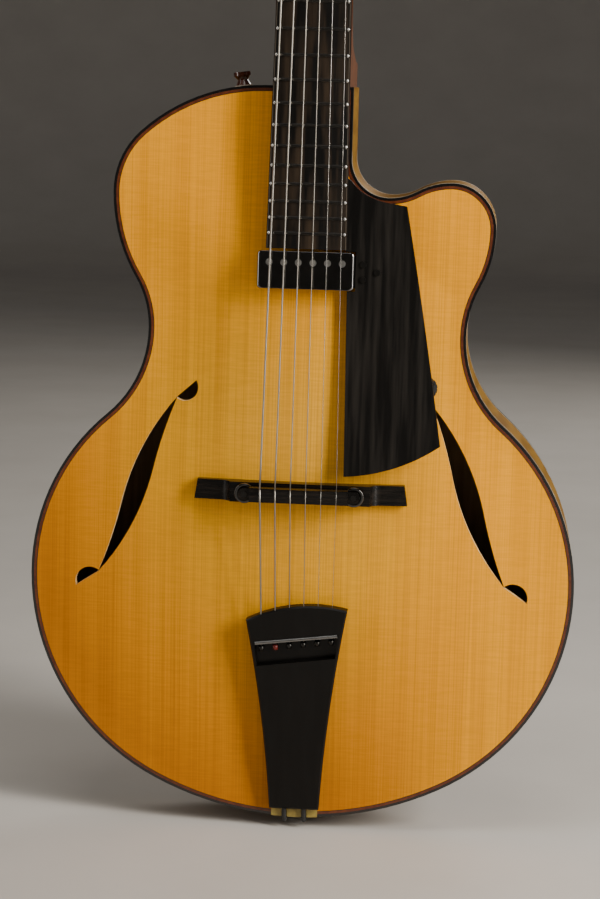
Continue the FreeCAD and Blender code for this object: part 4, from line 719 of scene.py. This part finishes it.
def fitted_guard():
    """The guard with its hollow drawn up to the purfling and its side up to the fingerboard."""
    guard = smooth_copy("pickguard", "ebony", (EBONY_GUARD,))
    hollow_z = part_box("pickguard")[1].z - GUARD_HOLLOW
    front = min((polygon.normal for polygon in guard.data.polygons), key=lambda normal: normal.y)
    slope = -front.z / front.y
    reach_x = [vertex.co.x for vertex in guard.data.vertices if vertex.co.z > hollow_z]
    side_x, corner_x = min(reach_x), max(reach_x)
    for vertex in guard.data.vertices:
        if vertex.co.z > hollow_z:
            fade = min(1, (corner_x - vertex.co.x) / GUARD_FADE)
            vertex.co += Vector((0, slope, 1)) * (GUARD_REACH * fade)
        if vertex.co.z > GUARD_SIDE_ABOVE and vertex.co.x < side_x + GUARD_SIDE_TOLERANCE:
            distance = BOARD_FOOT.z - vertex.co.z / MM
            tuck = GUARD_TUCK if vertex.co.z < GUARD_TUCK_BELOW else 0
            vertex.co.x = (board_half(distance) + GUARD_GAP - tuck) * MM


fitted_guard()


# Pickup, bridge wheels and fret ends

# The pickup's own frame: X across, Y up the strings, Z out of the top
PICKUP_PLACE = Matrix((
    (1, 0, 0, 0),
    (0, 0.0523, -0.9986, -48.786),
    (0, 0.9986, 0.0523, 413.085),
    (0, 0, 0, 1),
))
PICKUP_HALF = (34.25, 13.35)
PICKUP_HEIGHT = 10.4
PICKUP_WALL = 0.8
PICKUP_CORNER = 2.6
# The rounded upper edge: its depth, and its width at the ends and along the sides
PICKUP_EDGE = 1.6
PICKUP_END_ROUND = 2.4
PICKUP_SIDE_ROUND = 0.4
ROUND_STEPS = 6


def rounded_ring(half, corner, level):
    """A rectangle with rounded corners."""
    ring = []
    for quarter, (side, end) in enumerate(((1, 1), (-1, 1), (-1, -1), (1, -1))):
        for step in range(ROUND_STEPS + 1):
            turn = math.pi / 2 * (quarter + step / ROUND_STEPS)
            ring.append((side * (half[0] - corner) + corner * math.cos(turn),
                         end * (half[1] - corner) + corner * math.sin(turn), level))
    return ring


def pickup_shell(shape):
    """The pickup's cover: a shell open underneath, well rounded along its two ends."""
    inner = [side - PICKUP_WALL for side in PICKUP_HALF]
    inner_corner = PICKUP_CORNER - PICKUP_WALL
    rings = [
        rounded_ring(inner, inner_corner, PICKUP_HEIGHT - PICKUP_WALL),
        rounded_ring(inner, inner_corner, 0),
        rounded_ring(PICKUP_HALF, PICKUP_CORNER, 0),
    ]
    for step in range(ROUND_STEPS + 1):
        turn = math.pi / 2 * step / ROUND_STEPS
        away = 1 - math.cos(turn)
        half = (PICKUP_HALF[0] - PICKUP_END_ROUND * away, PICKUP_HALF[1] - PICKUP_SIDE_ROUND * away)
        level = PICKUP_HEIGHT - PICKUP_EDGE * (1 - math.sin(turn))
        rings.append(rounded_ring(half, PICKUP_CORNER - PICKUP_SIDE_ROUND * away, level))
    placed = [[PICKUP_PLACE @ Vector(corner) * MM for corner in ring] for ring in rings]
    add_rings(shape, placed, False)


# the cover's chrome carries a painted dark reflection
cover_mesh = mesh_of("pickup_cover_finish", pickup_shell)
cover = add_piece("pickup_cover_finish", cover_mesh, ROOT, "dark_chrome", PAINTED_DARK_CHROME)
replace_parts(cover, "pickup_cover")

WHEEL_BORE = 2.05 * MM
WHEEL_ROUND = 0.8 * MM
WHEEL_ROUND_STEPS = 4
WHEEL_SIDES = 144
KNURL_DEPTH = 0.12 * MM
KNURL_EVERY = 4


def knurled_wheel(shape, node):
    """A bridge wheel with a bore, rounded rim edges and a fine knurl."""
    low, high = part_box(node)
    middle = (low + high) / 2
    radius = (high.x - low.x) / 2
    profile = [(WHEEL_BORE, high.y), (WHEEL_BORE, low.y)]
    for face, toward in ((low.y, 1), (high.y, -1)):
        edge = []
        for step in range(WHEEL_ROUND_STEPS + 1):
            turn = math.pi / 2 * step / WHEEL_ROUND_STEPS
            edge.append((radius - WHEEL_ROUND * (1 - math.sin(turn)),
                         face + toward * WHEEL_ROUND * (1 - math.cos(turn))))
        profile += edge if toward > 0 else edge[::-1]
    rings = []
    for reach, y in profile:
        knurled = reach > radius - WHEEL_ROUND / 2
        ring = []
        for step, turn in enumerate(turns_round(WHEEL_SIDES)):
            cut = KNURL_DEPTH if knurled and step % KNURL_EVERY == 0 else 0
            ring.append((middle.x + (reach - cut) * math.cos(turn), y,
                         middle.z + (reach - cut) * math.sin(turn)))
        rings.append(ring)
    add_rings(shape, rings, True)


for node, body in (("bass_thumbwheel", "bass_wheel"), ("treble_thumbwheel", "treble_wheel")):
    mesh = mesh_of(node + "_finish", lambda shape: knurled_wheel(shape, node))
    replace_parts(add_piece(node + "_finish", mesh, body, "black_screw", WHEEL_STEEL), node)


FRET_END_RADIUS = 1.3
FRET_END_HEIGHT = 1.3
FRET_END_INSET = 1.7
FRET_END_LIFT = 0.05
FRET_END_SIDES = 10
FRET_END_RINGS = 4


def fret_ends(shape):
    """A small polished dome on each end of every fret."""
    for fret in range(1, FRET_COUNT + 1):
        distance = SCALE_LENGTH * (1 - 2 ** (-fret / 12))
        x = board_half(distance) - FRET_END_INSET
        for side in (-1, 1):
            on_board = BOARD_FOOT - BOARD_UP * distance + Vector((side * x, 0, 0))
            middle = on_board - BOARD_OUT * crown_drop(x)
            rings = []
            for step in range(FRET_END_RINGS):
                turn = math.pi / 2 * step / FRET_END_RINGS
                reach = FRET_END_RADIUS * math.cos(turn)
                height = FRET_END_LIFT + FRET_END_HEIGHT * math.sin(turn)
                level = middle + BOARD_OUT * height
                rings.append([(level + ACROSS * (reach * math.cos(angle))
                               + BOARD_UP * (reach * math.sin(angle))) * MM
                              for angle in turns_round(FRET_END_SIDES)])
            add_rings(shape, rings, False)


add_piece("fret_ends", mesh_of("fret_ends", fret_ends), ROOT, "fret_wire", FRET_END_GLINT)


# Strings

# The stretches of a string: which they are in its line, and into how many lengths each is cut
TAIL = (0, 12)
SPAN = (1, 40)
HEAD = (2, 2)


def string_piece(name, numbers, part, slot, material):
    """The same stretch of several strings as one piece."""
    stretch, count = part

    def build(shape):
        for number in numbers:
            start, end = string_line(number)[stretch:stretch + 2]
            add_tube(shape, along(start, end, count), GAUGES[number] / 2 * MM, STRING_SIDES)
    return add_piece(name, mesh_of(name, build), None, slot, material)


for group, numbers, slot, material in (
    ("wound", WOUND_STRINGS, "wound_wire", WOUND),
    ("plain", PLAIN_STRINGS, "steel", STEEL),
):
    tails = string_piece(f"{group}_string_tails", numbers, TAIL, slot, material)
    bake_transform(tails)
    spans = string_piece(f"{group}_string_spans", numbers, SPAN, slot, material)
    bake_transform(spans)
    heads = string_piece(f"{group}_string_heads", numbers, HEAD, slot, material)
    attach(heads, ROOT)
    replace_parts(heads, f"{group}_strings")


BALL_LENGTH = 3.6 * MM
BALL_RADIUS = 1.9 * MM
BALL_SIDES = 14
RED_BALL_STRING = 5


def ball_ends(shape):
    """The strings' ball ends under the tailpiece's bar, one of them red."""
    for number in GAUGES:
        anchor, saddle = string_line(number)[:2]
        toward = (saddle - anchor).normalized()
        line = along(anchor - toward * BALL_LENGTH, anchor, 1)
        add_tube(shape, line, BALL_RADIUS, BALL_SIDES, int(number == RED_BALL_STRING))


add_piece("ball_ends", mesh_of("ball_ends", ball_ends), ROOT, "black_screw", BLACK_METAL, RED_BALL)


WRAP_STEP = math.radians(24)
WRAP_POINTS = 37
WRAP_GAP = 0.12


def wrap_line(number):
    """A string's turns round its post, from where it first meets it down towards the headstock."""
    gauge = GAUGES[number]
    foot = post_foot(number) * MM
    spoke = string_line(number)[3] - foot
    rise = spoke.dot(HEAD_OUT)
    spoke = (spoke - HEAD_OUT * rise).normalized() * (POST_RADIUS + gauge / 2) * MM
    turn = -WRAP_STEP * post_side(number)
    pitch = (gauge + WRAP_GAP) * MM * WRAP_STEP / (2 * math.pi)
    return [foot + HEAD_OUT * (rise - pitch * step)
            + Matrix.Rotation(turn * step, 3, HEAD_OUT) @ spoke
            for step in range(WRAP_POINTS)]


for number, gauge in GAUGES.items():
    name = f"string_wrap_{number}"
    radius = gauge / 2 * MM
    mesh = mesh_of(name, lambda shape: add_tube(shape, wrap_line(number), radius, STRING_SIDES))
    slot, material = ("steel", STEEL) if number in PLAIN_STRINGS else ("wound_wire", WOUND)
    add_piece(name, mesh, f"post_{number}", slot, material)


# A ferrule's section, as radius and height
FERRULE = ((5.2, 0.1), (5.2, 1.6), (4.4, 2.2), (3.2, 2.2), (3.2, 0.1))
FERRULE_SIDES = 6


def bushings(shape):
    """Hexagonal ferrules round the posts on the headstock's face."""
    for number in GAUGES:
        foot = post_foot(number)
        rings = []
        for radius, level in FERRULE:
            corners = []
            for turn in turns_round(FERRULE_SIDES):
                spoke = ACROSS * math.cos(turn) + HEAD_UP * math.sin(turn)
                corners.append((foot + HEAD_OUT * level + spoke * radius) * MM)
            rings.append(corners)
        add_rings(shape, rings, True, False)


add_piece("tuner_bushings", mesh_of("tuner_bushings", bushings), ROOT, "hardware", NICKEL)


# Tail cord

CORD_RADIUS = 1.7 * MM
CORD_HALF_SPREAD = 7.25
CORD_LEVEL = 5.82
# One strand from the tailpiece to the middle of the loop, as depth and height
CORD_STRAND = (
    (-41.58, 37.63),
    (-38.12, 10.19),
    (-37.57, CORD_LEVEL),
    (-33.16, CORD_LEVEL),
    (0.0, CORD_LEVEL),
    (CORD_HALF_SPREAD, CORD_LEVEL),
)


def cord_route():
    """One strand down from the tailpiece, the loop round the jack, and the other strand."""
    down = [(-CORD_HALF_SPREAD, y, z) for y, z in CORD_STRAND]
    return down + [(-x, y, z) for x, y, z in reversed(down)]


def tail_cord():
    """A smooth line through the route's corners, as a round braided cord."""
    curve = bpy.data.curves.new("tail_cord_route", "CURVE")
    curve.dimensions = "3D"
    curve.resolution_u = 8
    curve.bevel_depth = CORD_RADIUS
    curve.bevel_resolution = 4
    curve.use_fill_caps = True
    spline = curve.splines.new("NURBS")
    route = cord_route()
    spline.points.add(len(route) - 1)
    for point, place in zip(spline.points, route):
        point.co = (*(value * MM for value in place), 1.0)
    spline.order_u = 3
    spline.use_endpoint_u = True
    holder = bpy.data.objects.new("tail_cord_route", curve)
    bpy.context.scene.collection.objects.link(holder)
    bpy.context.view_layer.update()
    evaluated = holder.evaluated_get(bpy.context.evaluated_depsgraph_get())
    mesh = bpy.data.meshes.new_from_object(evaluated)
    bpy.data.objects.remove(holder)
    mesh.polygons.foreach_set("use_smooth", [True] * len(mesh.polygons))
    cord = add_piece("tail_cord_braid", mesh, ROOT, "cord", CORD)
    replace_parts(cord, "tail_cord")


tail_cord()


# Stage, light and camera, in metres

FLOOR_MIDDLE = 0.5
FLOOR_REACH = 5.0
FLOOR_DROP = 0.5 * MM
WALL_CURVE = 2.0
WALL_CURVE_STEPS = 12
WALL_HEIGHT = 6.0
WALL_SIDES = 72


def backdrop_shape(shape):
    """A round floor that curves up into a wall on every side."""
    profile = [(FLOOR_MIDDLE, 0.0), (FLOOR_REACH, 0.0)]
    for step in range(1, WALL_CURVE_STEPS + 1):
        turn = math.pi / 2 * step / WALL_CURVE_STEPS
        profile.append((FLOOR_REACH + WALL_CURVE * math.sin(turn),
                        WALL_CURVE - WALL_CURVE * math.cos(turn)))
    profile.append((FLOOR_REACH + WALL_CURVE, WALL_HEIGHT))
    rings = []
    for radius, level in profile:
        rings.append([shape.verts.new((radius * math.cos(turn), radius * math.sin(turn),
                                       level - FLOOR_DROP)) for turn in turns_round(WALL_SIDES)])
    shape.faces.new(rings[0])
    for low, high in zip(rings, rings[1:]):
        for step in range(WALL_SIDES):
            after = (step + 1) % WALL_SIDES
            shape.faces.new((low[step], high[step], high[after], low[after])).smooth = True


def backdrop():
    """Plain pale paper, faintly mottled."""
    paint = Paint("backdrop", Roughness=0.85)
    paper = paint.noise((6, 6, 6), detail=4.0)
    stops = [(0.3, (0.50, 0.47, 0.43)), (0.7, (0.54, 0.51, 0.47))]
    paint.link(paint.ramp(paper, stops), "Base Color")
    mesh = mesh_of("backdrop", backdrop_shape)
    mesh.materials.append(paint.material)
    floor = bpy.data.objects.new("backdrop", mesh)
    bpy.context.scene.collection.objects.link(floor)


# Each lamp's name, place, target, width and height, and watts
BODY_MIDDLE = (0, 0, 0.3)
WAIST = (0, 0, 0.4)
LAMPS = (
    ("key", (1.60, -0.95, 1.15), BODY_MIDDLE, (0.5, 1.1), 63),
    ("edge", (1.45, -0.95, 0.25), WAIST, (0.12, 0.7), 6),
    ("fill", (-1.65, -0.85, 0.80), BODY_MIDDLE, (0.4, 1.8), 11),
    ("top", (0.0, -0.7, 2.3), WAIST, (1.4, 0.9), 12),
    ("rear", (0.9, 2.2, 1.6), BODY_MIDDLE, (1.0, 1.0), 20),
)
LAMP_COLOUR = (1.0, 0.96, 0.90)
ROOM_COLOUR = (0.9, 0.92, 1.0, 1.0)
ROOM_STRENGTH = 0.05

# The camera's turns are in degrees, its lens and sensor in millimetres
CAMERA_PLACE = (0.13078, -1.66923, 0.53854)
CAMERA_TURN = (81.1256, -1.4467, 4.8893)
CAMERA_LENS = 92.1
CAMERA_SENSOR = 36.0


def area_light(name, place, target, size, power):
    """A square-cornered lamp that looks at a target."""
    light = bpy.data.lights.new(name, "AREA")
    light.shape = "RECTANGLE"
    light.size, light.size_y = size
    light.energy = power
    light.color = LAMP_COLOUR
    holder = bpy.data.objects.new(name, light)
    holder.location = place
    holder.rotation_euler = (Vector(target) - Vector(place)).to_track_quat("-Z", "Y").to_euler()
    bpy.context.scene.collection.objects.link(holder)


def set_light():
    """The lamps, and a faint even light from the room."""
    for lamp in LAMPS:
        area_light(*lamp)
    world = bpy.data.worlds.new("studio")
    world.use_nodes = True
    background = world.node_tree.nodes["Background"]
    background.inputs["Color"].default_value = ROOM_COLOUR
    background.inputs["Strength"].default_value = ROOM_STRENGTH
    bpy.context.scene.world = world


def set_camera():
    """The camera as it was fitted to the photograph."""
    camera = bpy.data.cameras.new("camera")
    camera.sensor_width = CAMERA_SENSOR
    camera.lens = CAMERA_LENS
    holder = bpy.data.objects.new("camera", camera)
    holder.location = CAMERA_PLACE
    holder.rotation_euler = [math.radians(angle) for angle in CAMERA_TURN]
    bpy.context.scene.collection.objects.link(holder)
    bpy.context.scene.camera = holder


backdrop()
set_light()
set_camera()
